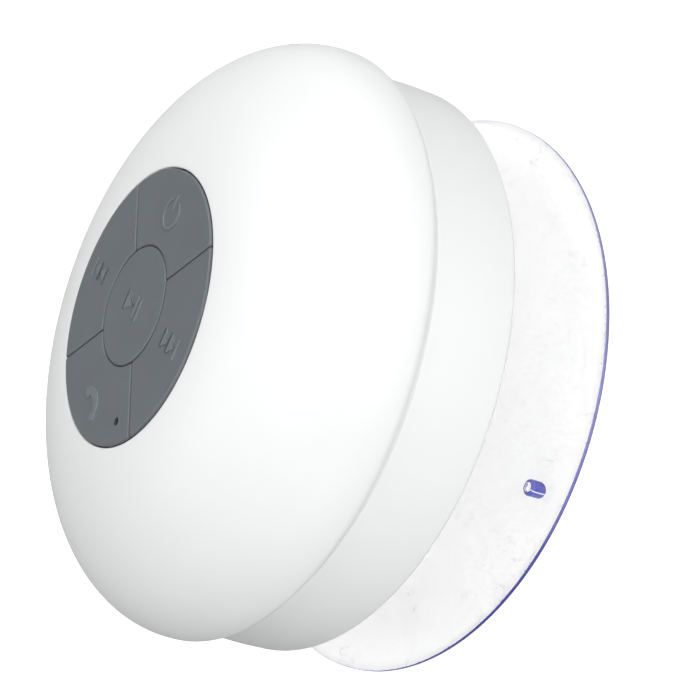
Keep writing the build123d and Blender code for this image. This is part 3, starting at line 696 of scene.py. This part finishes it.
class SPEAKER_OT_finishes(bpy.types.Operator):
    """Give every rigid part its moulded, metal or woven finish"""

    bl_idname = "speaker.finishes"
    bl_label = "Finishes"

    def execute(self, context):
        packed = list(bpy.data.materials)
        for plain in packed:
            plain.name = "packed_" + plain.name
        for node, slot in SLOTS.items():
            frame["nodes"][node].material_slots[0].material = finished(slot)
        for plain in packed:
            bpy.data.materials.remove(plain)
        return {"FINISHED"}


# ---- Front cover ---------------------------------------------------------------------

class SPEAKER_OT_cover(bpy.types.Operator):
    """Add the soft silicone cover with its rolled bead"""

    bl_idname = "speaker.cover"
    bl_label = "Cover"

    def execute(self, context):
        edge = context.scene.speaker_sizes.opening_edge / MM
        flat, lip, wall, bead_height = 16.0, 40.8, 1.8, 1.9
        bulge_z = SEAM_Z + bead_height
        across, rise = COVER_RADIUS - flat, FACE_Z - bulge_z
        stop = degrees(acos((OPENING_RADIUS + edge - flat) / across))
        inner_stop = degrees(acos((OPENING_RADIUS - flat) / (across - wall)))
        outer = arc((flat, bulge_z), (across, rise), 0, stop, 64)
        bead = arc((lip, bulge_z), (COVER_RADIUS - lip, bead_height), -90, 0, 14)
        rim = arc((OPENING_RADIUS + edge, outer[-1][1] - edge), (edge, edge), 80, 180, 8)
        inside = arc((flat, bulge_z), (across - wall, rise - wall), inner_stop, 0, 40)
        outline = bead + outer[1:] + rim[1:] + inside + [(lip - wall, SEAM_Z)] + bead[:1]
        stand_in(turned("silicone_cover", outline, FINE_ROUND), "front_cover")
        return {"FINISHED"}


# ---- Keys ------------------------------------------------------------------------------

def sector_outline(outer, inner, gap, corner, facets=24):
    """Outline of a quarter of a ring around +X, half a gap from its borders, corners rounded."""
    across = -(corner + gap / 2)
    along, out = Vector((sqrt(0.5), sqrt(0.5))), Vector((-sqrt(0.5), sqrt(0.5)))

    def rounding(radius, inside):
        """Points of a corner whose middle is at a radius, and the middle's angle."""
        centre = along * sqrt(radius ** 2 - across ** 2) + out * across
        toward = degrees(atan2(centre.y, centre.x))
        ends = (135.0, toward + 180.0) if inside else (toward, 135.0)
        return arc(centre, (corner, corner), *ends, 6), toward

    far, far_angle = rounding(outer - corner, False)
    near, near_angle = rounding(inner + corner, True)
    upper = far + near
    rim = arc((0, 0), (outer, outer), -far_angle, far_angle, facets)
    hub = arc((0, 0), (inner, inner), near_angle, -near_angle, facets // 2)
    lower = [(x, -y) for x, y in reversed(upper)]
    return rim[:-1] + upper + hub[1:-1] + lower[:-1] + rim[:1]


def triangle(cx, cy, width, height, facing):
    """Closed outline of a play triangle that points along +X or -X, tips blunted."""
    tips = [(-width / 2, -height / 2), (width / 2, 0.0), (-width / 2, height / 2)]
    blunt = 0.14
    points = []
    for i, spot in enumerate(tips):
        tip, before, after = Vector(spot), Vector(tips[i - 1]), Vector(tips[(i + 1) % 3])
        first = tip + (before - tip).normalized() * blunt
        last = tip + (after - tip).normalized() * blunt
        points += [first, (first + last + tip) / 3, last]
    points = [(cx + facing * spot.x, cy + spot.y) for spot in points]
    return points + points[:1]


def band(cx, cy, radius, width, start, end):
    """Closed outline of a curved stroke with round ends."""
    outer = arc((cx, cy), (radius + width / 2,) * 2, start, end, 28)
    inner = arc((cx, cy), (radius - width / 2,) * 2, end, start, 28)
    ends = []
    for angle, turn in ((end, end), (start, start + 180)):
        x, y = cx + radius * cos(radians(angle)), cy + radius * sin(radians(angle))
        ends.append(arc((x, y), (width / 2,) * 2, turn, turn + 180, 6)[1:-1])
    return outer + ends[0] + inner + ends[1] + outer[:1]


def handset(cx, cy, size, turn):
    """Closed outline of a telephone handset, turned by degrees."""
    bow = arc((0, -0.30), (0.62, 0.62), 150, 30, 14)
    right = [(0.62, 0.02), (0.70, -0.20), (0.60, -0.36), (0.40, -0.36), (0.30, -0.24),
             (0.30, -0.08)]
    grip = arc((0, -0.42), (0.40, 0.40), 50, 130, 8)
    left = [(-x, y) for x, y in reversed(right)]
    a = radians(turn)
    points = [
        (cx + size * (x * cos(a) - y * sin(a)), cy + size * (x * sin(a) + y * cos(a)))
        for x, y in bow + right + grip + left
    ]
    return points + points[:1]


def skip_marks(facing):
    """Outlines of the skip symbol: two triangles and a bar, towards +X or -X."""
    return [
        triangle(facing * 12.9, 0.0, 2.1, 3.0, facing),
        triangle(facing * 15.0, 0.0, 2.1, 3.0, facing),
        rounded_box(facing * 16.4, 0.0, 0.45, 3.0, 0.15),
    ]


SYMBOLS = {
    "power": [
        band(-0.1, 13.7, 2.15, 0.42, 128, 412),
        rounded_box(-0.1, 15.1, 0.42, 2.6, 0.18),
    ],
    "previous": skip_marks(-1),
    "play": [
        triangle(-1.2, 0.0, 2.9, 3.1, 1),
        rounded_box(0.95, 0.0, 0.55, 3.4, 0.15),
        rounded_box(2.1, 0.0, 0.55, 3.4, 0.15),
    ],
    "next": skip_marks(1),
    "phone": [handset(0.1, -14.5, 4.3, -29)],
}


class SPEAKER_OT_keys(bpy.types.Operator):
    """Add the five silicone keys with their raised symbols"""

    bl_idname = "speaker.keys"
    bl_label = "Keys"

    def execute(self, context):
        sizes = context.scene.speaker_sizes
        edge, gap, rise = (x / MM for x in (sizes.key_edge, sizes.groove, sizes.symbol_height))
        corner, nub_radius, nub_sunk, mark_edge, mark_sunk = 0.35, 2.1, 0.5, 0.14, 0.05
        outline = sector_outline(PAD_RADIUS, PLAY_RADIUS + gap, gap, corner)
        blank = slab("sector", outline, KEY_BOTTOM_Z, FACE_Z, edge)
        keys = {name: copied(blank, name + "_pad", angle) for name, angle in KEY_ANGLES.items()}
        bpy.data.objects.remove(blank)
        hole = disc(around(MIC_REACH, MIC_ANGLE), MIC_HOLE_RADIUS)
        cut_with(keys["phone"], slab("hole", hole, KEY_BOTTOM_Z - 1, FACE_Z + 1))
        outline = disc((0, 0), PLAY_RADIUS, ROUND // 2)
        keys["play"] = slab("play_pad", outline, KEY_BOTTOM_Z, FACE_Z, edge)
        for name, pad in keys.items():
            low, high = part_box(name + "_plunger")
            outline = disc(((low + high) / 2 / MM).xy, nub_radius, SMALL_ROUND)
            nub = slab("nub", outline, high.z / MM, KEY_BOTTOM_Z + nub_sunk)
            cut_with(pad, nub, "UNION")
            stand_in(settle(pad), name + "_key", name + "_button")
            marks = [
                slab("mark", shape, FACE_Z - mark_sunk, FACE_Z + rise, mark_edge, 3)
                for shape in SYMBOLS[name]
            ]
            symbol = joined(name + "_symbol", marks)
            # The symbols' paler grey is a painted highlight for their raised edges.
            dress(symbol, finished("rubbed_silicone"), name + "_button")
        return {"FINISHED"}


class SPEAKER_OT_mat(bpy.types.Operator):
    """Add the sealing mat under the keys"""

    bl_idname = "speaker.mat"
    bl_label = "Key mat"

    def execute(self, context):
        reach, lip = node_radius("key_mat"), 0.25
        low_z, high_z = node_bottom("key_mat"), node_top("key_mat")
        rounding = arc((reach - lip, high_z - lip), (lip, lip), 0, 90, 5)
        outline = [(0.0, low_z), (reach, low_z), *rounding, (0.0, high_z)]
        mat = turned("sealing_mat", outline)
        # The mat's darker grey is painted shade in the gaps round the keys.
        dress(mat, finished("mat_silicone"), "speaker", ["key_mat"])
        return {"FINISHED"}


class SPEAKER_OT_seal(bpy.types.Operator):
    """Add the soft seal between cover and drum"""

    bl_idname = "speaker.seal"
    bl_label = "Seal"

    def execute(self, context):
        inner, proud, lip_z = 38.8, 0.1, SEAM_Z + 0.06
        reach = node_radius("seal_ring")
        outline = [
            (inner, DRUM_TOP_Z),
            (reach + 0.05, DRUM_TOP_Z),
            (reach + proud, DRUM_TOP_Z + 0.1),
            (reach + proud, SEAM_Z - 0.25),
            (reach + 2 * proud, SEAM_Z - 0.05),
            (reach + 3 * proud, lip_z),
            (inner, lip_z),
            (inner, DRUM_TOP_Z),
        ]
        stand_in(turned("seam_seal", outline), "seal_ring")
        return {"FINISHED"}


# ---- Suction cup -------------------------------------------------------------------------

def flange_top(reach):
    """Level of the cup's upper face at a reach: an arch that thins near the rim."""
    rim_z, rise, arch, thinned, thin_share = 0.9, 7.5, 3.2, 0.24, 0.22
    share = (CUP_RADIUS - reach) / (CUP_RADIUS - FLANGE_FOOT)
    thinning = thinned * max(0.0, 1 - share / thin_share) ** 2
    return rim_z + rise * share + arch * share * (1 - share) - thinning


def cup_outline():
    """Closed outline of the cup: rim, flange, neck, snap head and the hollow below."""
    edge = [(CUP_RADIUS - inset, z) for inset, z in
            ((0.25, 0.0), (0.07, 0.06), (0.0, 0.2), (0.0, 0.6), (0.05, 0.65))]
    near_rim = (42.3, 42.0, 41.5, 41.0, 40.0, 38.5)
    top = [(r, flange_top(r)) for r in (*near_rim, *range(37, 15, -2), 15.4, FLANGE_FOOT)]
    neck = arc((FLANGE_FOOT, 12.4), (4.0, 4.0), 270, 180, 8)
    shank = [(10.0, 15.6), (9.7, 15.9), (6.3, 15.9), (6.3, 18.3), (7.6, 18.3), (7.6, 19.9),
             (7.3, 20.4), (6.3, 20.7), (0.0, 20.7)]
    roof, start, span, bow = 5.9, 13.0, 27.9, 1.25
    hollow = [(0.0, 6.0), (12.4, 6.0), (start, roof)]
    hollow += [
        (r, roof * (1 - ((r - start) / span) ** bow)) for r in (*range(15, 40, 2), 40.2)
    ]
    return edge + top + neck[1:] + shank + hollow + [(40.9, 0.0)] + edge[:1]


def dye_cup(cup, crown):
    """Give the rim, the pip and a painted highlight stripe on the pip finishes of their own."""
    edge, highlight, pip = 1, 2, 3
    for name in ("clear_pvc_edge", "pvc_flash", "pvc_pip"):
        cup.data.materials.append(finished(name))
    x, y = around(PIP_REACH, PIP_ANGLE)
    for face in cup.data.polygons:
        spot = face.center / MM
        tilt = abs(face.normal.z)
        out, across = spot.x - x, spot.y - y
        on_pip = sqrt(out ** 2 + across ** 2) < PIP_RADIUS + 0.02
        on_pip = on_pip and spot.z > flange_top(PIP_REACH) + 0.1
        # A painted highlight: a thin pale stripe up the pip's outer side.
        if on_pip and out > 0 and -0.16 < across < 0 and crown - 1.6 < spot.z < crown - 0.1:
            face.material_index = highlight
        elif on_pip and tilt < 0.94:
            face.material_index = pip
        elif spot.xy.length > CUP_RADIUS - 0.15 and spot.z < 0.63 and tilt < 0.95:
            face.material_index = edge


class SPEAKER_OT_cup(bpy.types.Operator):
    """Add the clear suction cup with its neck, snap head and pull pip"""

    bl_idname = "speaker.cup"
    bl_label = "Suction cup"

    def execute(self, context):
        cup = turned("pvc_cup", cup_outline(), FINE_ROUND)
        sunk, height, dome = 0.6, 2.0, 0.6
        base, crown = flange_top(PIP_REACH) - sunk, flange_top(PIP_REACH) + height
        outline = [(0.0, base), (PIP_RADIUS, base)]
        outline += arc((0.0, crown - dome), (PIP_RADIUS, dome), 0, 90, 12)
        pip = turned("pip", outline, SMALL_ROUND)
        x, y = around(PIP_REACH, PIP_ANGLE)
        pip.location = (x * MM, y * MM, 0)
        cut_with(cup, settle(pip), "UNION")
        stand_in(settle(cup), "suction_cup", "cup")
        dye_cup(cup, crown)
        return {"FINISHED"}


# ---- Charging plug --------------------------------------------------------------------------

def drum_reach(z):
    """Radius of the drum's wall at a level: nearly upright with a slight belly."""
    belly = 0.22
    share = (z - REAR_Z) / (DRUM_TOP_Z - REAR_Z)
    return DRUM_REAR_RADIUS - share + 4 * belly * share * (1 - share)


def curved_plate(name, outline, inner, proud=0.0, start=36):
    """Plate in the drum's wall, between a reach and the wall's outer face."""
    beyond, step = 44, 0.5
    plate = side_block(name, outline, start, beyond)
    levels = [PORT_Z + step * i for i in range(-8, 9)]
    face = [(drum_reach(z) + proud, z) for z in levels]
    ring = turned("ring", face + [(inner, levels[-1]), (inner, levels[0])] + face[:1], 240)
    return cut_with(plate, ring, "INTERSECT")


class SPEAKER_OT_plug(bpy.types.Operator):
    """Add the soft charging plug, its strap and its anchor button"""

    bl_idname = "speaker.plug"
    bl_label = "Charging plug"

    def execute(self, context):
        height, corner, joint_corner, inner, ledge = 6.0, 1.4, 0.4, 40.2, 40.6
        strap_start, strip = 5.5, 0.2
        shape = rounded_box(0, PORT_Z, 12.4, height, joint_corner, 6, corner)
        plate = curved_plate("charge_plug", shape, inner)
        tongue = side_block("tongue", rounded_box(0, PORT_Z, 7.5, 2.6, 0.3), 39.0, ledge)
        cut_with(plate, tongue, "UNION")
        lip = side_block("lip", rounded_box(-5.0, PORT_Z, 1.0, 3.4, 0.45), ledge, 41.7)
        cut_with(plate, lip, "UNION")
        shape = rounded_box(8.025, PORT_Z, 3.05, height, corner, 6, joint_corner)
        button = curved_plate("plug_button", shape, inner)
        shape = rounded_box(6.3, PORT_Z, 2.4, 3.4, 0.3)
        strap = settle(curved_plate("plug_strap", shape, ledge, -0.12, 40.55))
        bpy.ops.object.mode_set(mode="EDIT")
        for i in range(9):
            bpy.ops.mesh.select_all(action="SELECT")
            x = (strap_start + strip * i) * MM
            bpy.ops.mesh.bisect(plane_co=(x, 0, 0), plane_no=(1, 0, 0))
        settle(strap)
        strap.data.materials.append(finished("plug_silicone"))
        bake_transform(strap)
        stand_in(settle(plate), "port_plug", "plug")
        stand_in(settle(button), "plug_anchor")
        return {"FINISHED"}


# ---- Driver ----------------------------------------------------------------------------------

def ribbed_cone():
    """Add the cone: a dished cap and a ribbed skirt."""
    rim_z, top_z = node_bottom("speaker_cone"), node_top("speaker_cone")
    rim, thick, neck, dish, rib_height = node_radius("speaker_cone"), 0.4, 7.8, 1.2, 0.16
    neck_z = top_z - thick
    sphere = (neck ** 2 + dish ** 2) / (2 * dish)
    line = []
    for i in range(13):
        r = neck * i / 12
        line.append((r, neck_z - dish + sphere - sqrt(sphere ** 2 - r ** 2)))
    for i in range(1, 49):
        share = i / 48
        rib = rib_height * max(0.0, sin(6 * pi * share)) if share < 0.95 else 0.0
        line.append((neck + (rim - neck) * share, neck_z + (rim_z - neck_z) * share + rib))
    stand_in(turned("ribbed_cone", skin(line, thick)), "speaker_cone", "cone")


def half_roll():
    """Add the surround: a half roll and a flat lip."""
    edge_z, clearance, roll, film = node_top("surround"), 0.2, 1.2, 0.35
    middle = (node_radius("speaker_cone") + clearance + roll, edge_z)
    lip = node_radius("surround")
    outline = arc(middle, (roll, roll), 180, 345, 20)
    outline += [(lip, edge_z - film), (lip, edge_z)]
    outline += arc(middle, (roll - film, roll - film), 360, 180, 20)
    stand_in(turned("half_roll", outline + outline[:1]), "surround")


def pleated_spider():
    """Add the spider, with three pleats."""
    low_z, outer = node_bottom("spider"), node_radius("spider")
    inner, pleat, thick = 7.95, 0.125, 0.4
    line = []
    for i in range(61):
        share = i / 60
        wave = pleat * (1 - cos(6 * pi * share))
        line.append((inner + (outer - inner) * share, low_z + wave))
    stand_in(turned("pleated_spider", skin(line, thick)), "spider")


def foam_gasket():
    """Add the driver's gasket with its four screw holes."""
    low_z, high_z = node_bottom("driver_gasket"), node_top("driver_gasket")
    outer, width, hole = node_radius("driver_gasket"), 4.1, 0.95
    inner = outer - width
    ring = rounded_box(
        (inner + outer) / 2, (low_z + high_z) / 2, outer - inner, high_z - low_z, 0.3
    )
    gasket = turned("foam_gasket", ring)
    for angle in CORNER_ANGLES:
        spot = around(screw_reach("driver_screws", SMALL_SCREW), angle)
        cut_with(gasket, slab("hole", disc(spot, hole), low_z - 1, high_z + 1))
    stand_in(settle(gasket), "driver_gasket")


class SPEAKER_OT_driver(bpy.types.Operator):
    """Add the driver's soft parts: ribbed cone, half-roll surround, pleated spider, gasket"""

    bl_idname = "speaker.driver"
    bl_label = "Driver"

    def execute(self, context):
        ribbed_cone()
        half_roll()
        pleated_spider()
        foam_gasket()
        return {"FINISHED"}


class SPEAKER_OT_mesh(bpy.types.Operator):
    """Add the fine mesh behind the sound slots"""

    bl_idname = "speaker.mesh"
    bl_label = "Slot mesh"

    def execute(self, context):
        low_z, high_z = node_bottom("rear_mesh"), node_top("rear_mesh")
        outer, inner, pitch, wire, hem = node_radius("rear_mesh"), 9.7, 1.0, 0.34, 0.9
        cells = 2 * int(outer / pitch) + 1
        select_none()
        bpy.ops.mesh.primitive_grid_add(
            x_subdivisions=cells, y_subdivisions=cells, size=cells * pitch * MM,
            location=(0, 0, (low_z + high_z) / 2 * MM),
        )
        lattice = begin("slot_mesh")
        choose(lattice, "VERT", lambda spot, normal: not inner < spot.xy.length / MM < outer - 0.5)
        bpy.ops.mesh.delete(type="VERT")
        bpy.ops.mesh.select_all(action="SELECT")
        bpy.ops.mesh.delete_loose(use_verts=True, use_edges=True, use_faces=False)
        settle(lattice)
        modifier = lattice.modifiers.new("wires", "WIREFRAME")
        modifier.thickness = wire * MM
        modifier.use_even_offset = False
        modifier.use_boundary = True
        bpy.ops.object.modifier_apply(modifier="wires")
        bpy.ops.object.mode_set(mode="EDIT")
        turn_outward()
        settle(lattice)
        hems = [
            turned("hem", rounded_box(r, (low_z + high_z) / 2, hem, high_z - low_z, 0.1))
            for r in (inner + hem / 2, outer - hem / 2)
        ]
        stand_in(joined("slot_mesh", [lattice, *hems]), "rear_mesh")
        return {"FINISHED"}


# ---- Power and leads -------------------------------------------------------------------------

def lead_outline(bottom, top):
    """Outline of a short lead: a cone of solder, a bare end and insulation, both ways up."""
    half = [(0.0, 0.0), (0.55, 0.0), (0.36, 0.35), (0.3, 0.55), (0.3, 0.95), (0.5, 0.95),
            (0.6, 1.1)]
    lower = [(r, bottom + z) for r, z in half]
    return lower + [(r, top - z) for r, z in reversed(half)]


class SPEAKER_OT_power(bpy.types.Operator):
    """Add the pouch cell, its pad and the leads up to the key board"""

    bl_idname = "speaker.power"
    bl_label = "Cell and leads"

    def execute(self, context):
        seal, sunk, side, bare, jacket = 2.0, 1.5, 0.4, 0.9, 0.6
        low, high = node_corners("battery")
        middle_y = (low.y + high.y) / 2
        pouch = block("cell_pouch", low, (high.x, high.y, high.z - seal), 1.1, 4)
        flange = block("flange", (low.x + side, middle_y - 0.25, high.z - seal - sunk),
                       (high.x - side, middle_y + 0.25, high.z), 0.12, 2)
        cut_with(pouch, flange, "UNION")
        stand_in(settle(pouch), "battery")
        pad = block("cell_pad", *node_corners("battery_pad"), 0.22)
        stand_in(pad, "battery_pad")
        for node in ("battery_leads", "charge_leads", "speaker_leads"):
            low, high = node_corners(node)
            middle, half = (low + high) / 2, (high - low) / 2
            offset = Vector((half.x - jacket, half.y - jacket))
            for sign, colour in ((-1, "red"), (1, "black")):
                wire = turned(f"{node[:-1]}_{colour}", lead_outline(low.z, high.z), 24)
                placed(wire, *(middle.xy + sign * offset))
                dress(wire, finished(colour + "_wire"), "speaker", [node])
                wire.data.materials.append(finished("solder"))
                for face in wire.data.polygons:
                    z = face.center.z / MM
                    face.material_index = int(min(z - low.z, high.z - z) < bare)
        return {"FINISHED"}


class SPEAKER_OT_mic_boot(bpy.types.Operator):
    """Add the ribbed rubber boot between the microphone and its hole"""

    bl_idname = "speaker.mic_boot"
    bl_label = "Microphone boot"

    def execute(self, context):
        low, high = node_corners("mic_boot")
        outer, groove, well = 2.7, 0.22, 2.05
        ledge = low.z + 1.55
        outline = [(well, low.z)]
        for i in range(3):
            z = low.z + i
            outline += [(outer, z), (outer, z + 0.45), (outer - groove, z + 0.65),
                        (outer - groove, z + 0.8)]
        outline += [(outer, high.z - 0.3), (outer - 0.2, high.z), (MIC_HOLE_RADIUS, high.z),
                    (MIC_HOLE_RADIUS, ledge), (well, ledge), (well, low.z)]
        boot = placed(turned("ribbed_boot", outline, SMALL_ROUND), *((low + high) / 2).xy)
        stand_in(boot, "mic_boot")
        return {"FINISHED"}


# ---- Screws ----------------------------------------------------------------------------------

def screw_reach(node, screw):
    """How far from the axis the diagonal screws of a CAD node stand."""
    return (node_radius(node) - screw["head"]) / sqrt(0.5)


def screw_length(node, screw):
    """Length of a CAD node's screws under their heads."""
    return node_top(node) - node_bottom(node) - screw["height"]


def screw_blank(length, shank, head, height):
    """Screw on the axis with its seat at level 0: domed head below, thread above."""
    dome, core, pitch, tip = height * 0.55, shank * 0.83, shank * 0.62, shank * 0.4
    outline = [(0.0, -height)] + arc((head - dome, dome - height), (dome, dome), -90, 0, 5)
    outline += [(head, 0.0), (shank, 0.0)]
    z = pitch * 0.75
    while z + pitch < length - tip:
        outline += [(shank, z), (core, z + pitch * 0.3), (core, z + pitch * 0.5),
                    (shank, z + pitch * 0.85)]
        z += pitch
    outline += [(shank, length - tip), (shank * 0.6, length), (0.0, length)]
    screw = turned("screw", outline, SMALL_ROUND)
    long, short = head * 1.1, head * 0.24
    for width, depth in ((long, short), (short, long)):
        recess = rounded_box(0, 0, width, depth, short * 0.2)
        cut_with(screw, slab("slot", recess, -height - 0.3, -height * 0.45))
    return screw


class SPEAKER_OT_screws(bpy.types.Operator):
    """Add all the screws, with their cross recesses and threads"""

    bl_idname = "speaker.screws"
    bl_label = "Screws"

    def execute(self, context):
        case = screw_blank(screw_length("case_screws", CASE_SCREW), **CASE_SCREW)
        small = screw_blank(4.4, **SMALL_SCREW)
        short = screw_blank(screw_length("charge_screws", SMALL_SCREW), **SMALL_SCREW)
        flipped = copied(small, "flipped")
        for upside in (flipped, short):
            upside.rotation_euler.x = pi
            settle(upside)
        head, height = SMALL_SCREW["head"], SMALL_SCREW["height"]
        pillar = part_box("board_screws")[1].y / MM - head
        low, high = node_corners("charge_screws")
        spots = {
            "case_screws": (
                case, node_bottom("case_screws") + CASE_SCREW["height"],
                [around(screw_reach("case_screws", CASE_SCREW), a) for a in CORNER_ANGLES],
            ),
            "board_screws": (
                small, node_bottom("board_screws") + height,
                [around(pillar, a) for a in BOARD_SCREW_ANGLES],
            ),
            "driver_screws": (
                flipped, node_top("driver_screws") - height,
                [around(screw_reach("driver_screws", SMALL_SCREW), a) for a in CORNER_ANGLES],
            ),
            "charge_screws": (
                short, high.z - height,
                [(x, (low.y + high.y) / 2) for x in (low.x + head, high.x - head)],
            ),
        }
        for node, (blank, seat, places) in spots.items():
            for i, (x, y) in enumerate(places):
                stand_in(copied(blank, f"{node[:-1]}_{i + 1}", 0, (x, y, seat)), node)
        for blank in (case, small, short, flipped):
            bpy.data.objects.remove(blank)
        return {"FINISHED"}


# ---- Stage -----------------------------------------------------------------------------------

CAMERA_PLACE = Vector((0.19925, 0.04853, 0.14447))
CAMERA_AIM = Vector((-0.81970, -0.18717, -0.54135))
CAMERA_UP = Vector((-0.36920, 0.89523, 0.24951))
LIT_SPOT = Vector((0.0, 0.0, 0.025))
SOFTBOX_SIZE = 0.35
# Name, place in metres and power in watts.
SOFTBOXES = (
    ("front_softbox", (0.515, -0.275, 0.165), 1.17),
    ("side_softbox", (0.520, 0.285, 0.105), 2.49),
    ("corner_softbox", (0.218, 0.554, 0.097), 0.35),
    ("far_softbox", (-0.072, 0.546, 0.264), 0.87),
    ("back_softbox", (-0.355, 0.481, 0.077), 0.37),
    ("top_front_softbox", (0.206, -0.030, 0.584), 0.58),
    ("top_left_softbox", (-0.216, -0.187, 0.548), 1.02),
    ("top_back_softbox", (-0.222, 0.165, 0.557), 1.20),
)


def sheet(name, level):
    """Wide level sheet of the stage, at a level in millimetres."""
    select_none()
    bpy.ops.mesh.primitive_plane_add(size=6.0, location=(0, 0, level * MM))
    piece = begin(name)
    bpy.ops.mesh.subdivide(number_cuts=4)
    return settle(piece)


def lit_surface(name, colour, glow):
    """Pale surface that glows by itself."""
    return finish(name, Base_Color=rgba(colour), Roughness=0.9,
                  Emission_Color=(1, 1, 1, 1), Emission_Strength=glow)[0]


def add_stage_pieces(stage):
    """Add the lit floor, the dull board under it and the wall round them."""
    floor, board = sheet("floor", -0.02), sheet("floor_board", -0.4)
    select_none()
    bpy.ops.mesh.primitive_cylinder_add(
        vertices=ROUND, radius=2.9, depth=3.0, end_fill_type="NOTHING", location=(0, 0, 1.45)
    )
    wall = begin("backdrop")
    bpy.ops.mesh.flip_normals()
    settle(wall)
    dull = finish("floor_board", Base_Color=rgba("#A0A0A0"), Roughness=0.9)[0]
    finishes = (
        (floor, lit_surface("pale_floor", stage.floor_colour, stage.floor_glow)),
        (board, dull),
        (wall, lit_surface("pale_wall", stage.floor_colour, stage.wall_glow)),
    )
    for piece, material in finishes:
        piece.data.materials.append(material)
    # The lit floor and wall are seen, also through the clear cup, and light nothing.
    for piece in (floor, wall):
        piece.visible_diffuse = piece.visible_glossy = piece.visible_shadow = False


def add_lights(stage):
    """Add the even sky and the soft lamps, which all face the speaker."""
    world = bpy.data.worlds.new("studio")
    bpy.context.scene.world = world
    world.use_nodes = True
    sky = world.node_tree.nodes["Background"]
    sky.inputs["Color"].default_value = (1, 1, 1, 1)
    sky.inputs["Strength"].default_value = stage.sky
    for name, place, power in SOFTBOXES:
        bpy.ops.object.light_add(type="AREA", location=place)
        lamp = bpy.context.object
        lamp.name = name
        lamp.data.shape = "DISK"
        lamp.data.energy = power * stage.light_scale
        lamp.data.size = SOFTBOX_SIZE
        lamp.rotation_euler = (LIT_SPOT - lamp.location).to_track_quat("-Z", "Y").to_euler()


def add_camera(stage):
    """Add the camera, turned so that the speaker leans in its frame."""
    back = -CAMERA_AIM
    right = CAMERA_AIM.cross(CAMERA_UP).normalized()
    up = back.cross(right)
    turn = Matrix((right, up, back)).transposed().to_4x4()
    bpy.ops.object.camera_add()
    camera = bpy.context.object
    camera.name = "camera"
    camera.matrix_world = Matrix.Translation(CAMERA_PLACE) @ turn
    camera.data.lens = stage.lens
    camera.data.clip_start = 0.01
    bpy.context.scene.camera = camera


class SPEAKER_OT_stage(bpy.types.Operator):
    """Add the pale floor, the soft studio lights and the camera"""

    bl_idname = "speaker.stage"
    bl_label = "Stage"

    def execute(self, context):
        stage = context.scene.speaker_stage
        add_stage_pieces(stage)
        add_lights(stage)
        add_camera(stage)
        context.scene.view_settings.view_transform = "Standard"
        return {"FINISHED"}


# ---- Panel ------------------------------------------------------------------------------------

class SPEAKER_PT_panel(bpy.types.Panel):
    """Sidebar panel that lists the speaker's pieces"""

    bl_idname = "SPEAKER_PT_panel"
    bl_label = "Shower Speaker"
    bl_space_type = "VIEW_3D"
    bl_region_type = "UI"
    bl_category = "Speaker"

    def draw(self, context):
        scene = context.scene
        for group in (scene.speaker_sizes, scene.speaker_colours, scene.speaker_stage):
            for name in group.__annotations__:
                self.layout.prop(group, name)
        for step in STEPS:
            self.layout.operator(step.bl_idname)


STEPS = (
    SPEAKER_OT_finishes,
    SPEAKER_OT_cover,
    SPEAKER_OT_keys,
    SPEAKER_OT_mat,
    SPEAKER_OT_seal,
    SPEAKER_OT_cup,
    SPEAKER_OT_plug,
    SPEAKER_OT_driver,
    SPEAKER_OT_mesh,
    SPEAKER_OT_power,
    SPEAKER_OT_mic_boot,
    SPEAKER_OT_screws,
    SPEAKER_OT_stage,
)
CLASSES = (SpeakerSizes, SpeakerColours, StageLights, *STEPS, SPEAKER_PT_panel)


def register():
    """Register the classes and their properties."""
    for cls in CLASSES:
        bpy.utils.register_class(cls)
    bpy.types.Scene.speaker_sizes = bpy.props.PointerProperty(type=SpeakerSizes)
    bpy.types.Scene.speaker_colours = bpy.props.PointerProperty(type=SpeakerColours)
    bpy.types.Scene.speaker_stage = bpy.props.PointerProperty(type=StageLights)


def unregister():
    """Take the properties and classes away again."""
    del bpy.types.Scene.speaker_stage
    del bpy.types.Scene.speaker_colours
    del bpy.types.Scene.speaker_sizes
    for cls in reversed(CLASSES):
        bpy.utils.unregister_class(cls)


def main():
    """Build the speaker."""
    register()
    for step in STEPS:
        group, name = step.bl_idname.split(".")
        getattr(getattr(bpy.ops, group), name)()


if __name__ == "__main__":
    main()
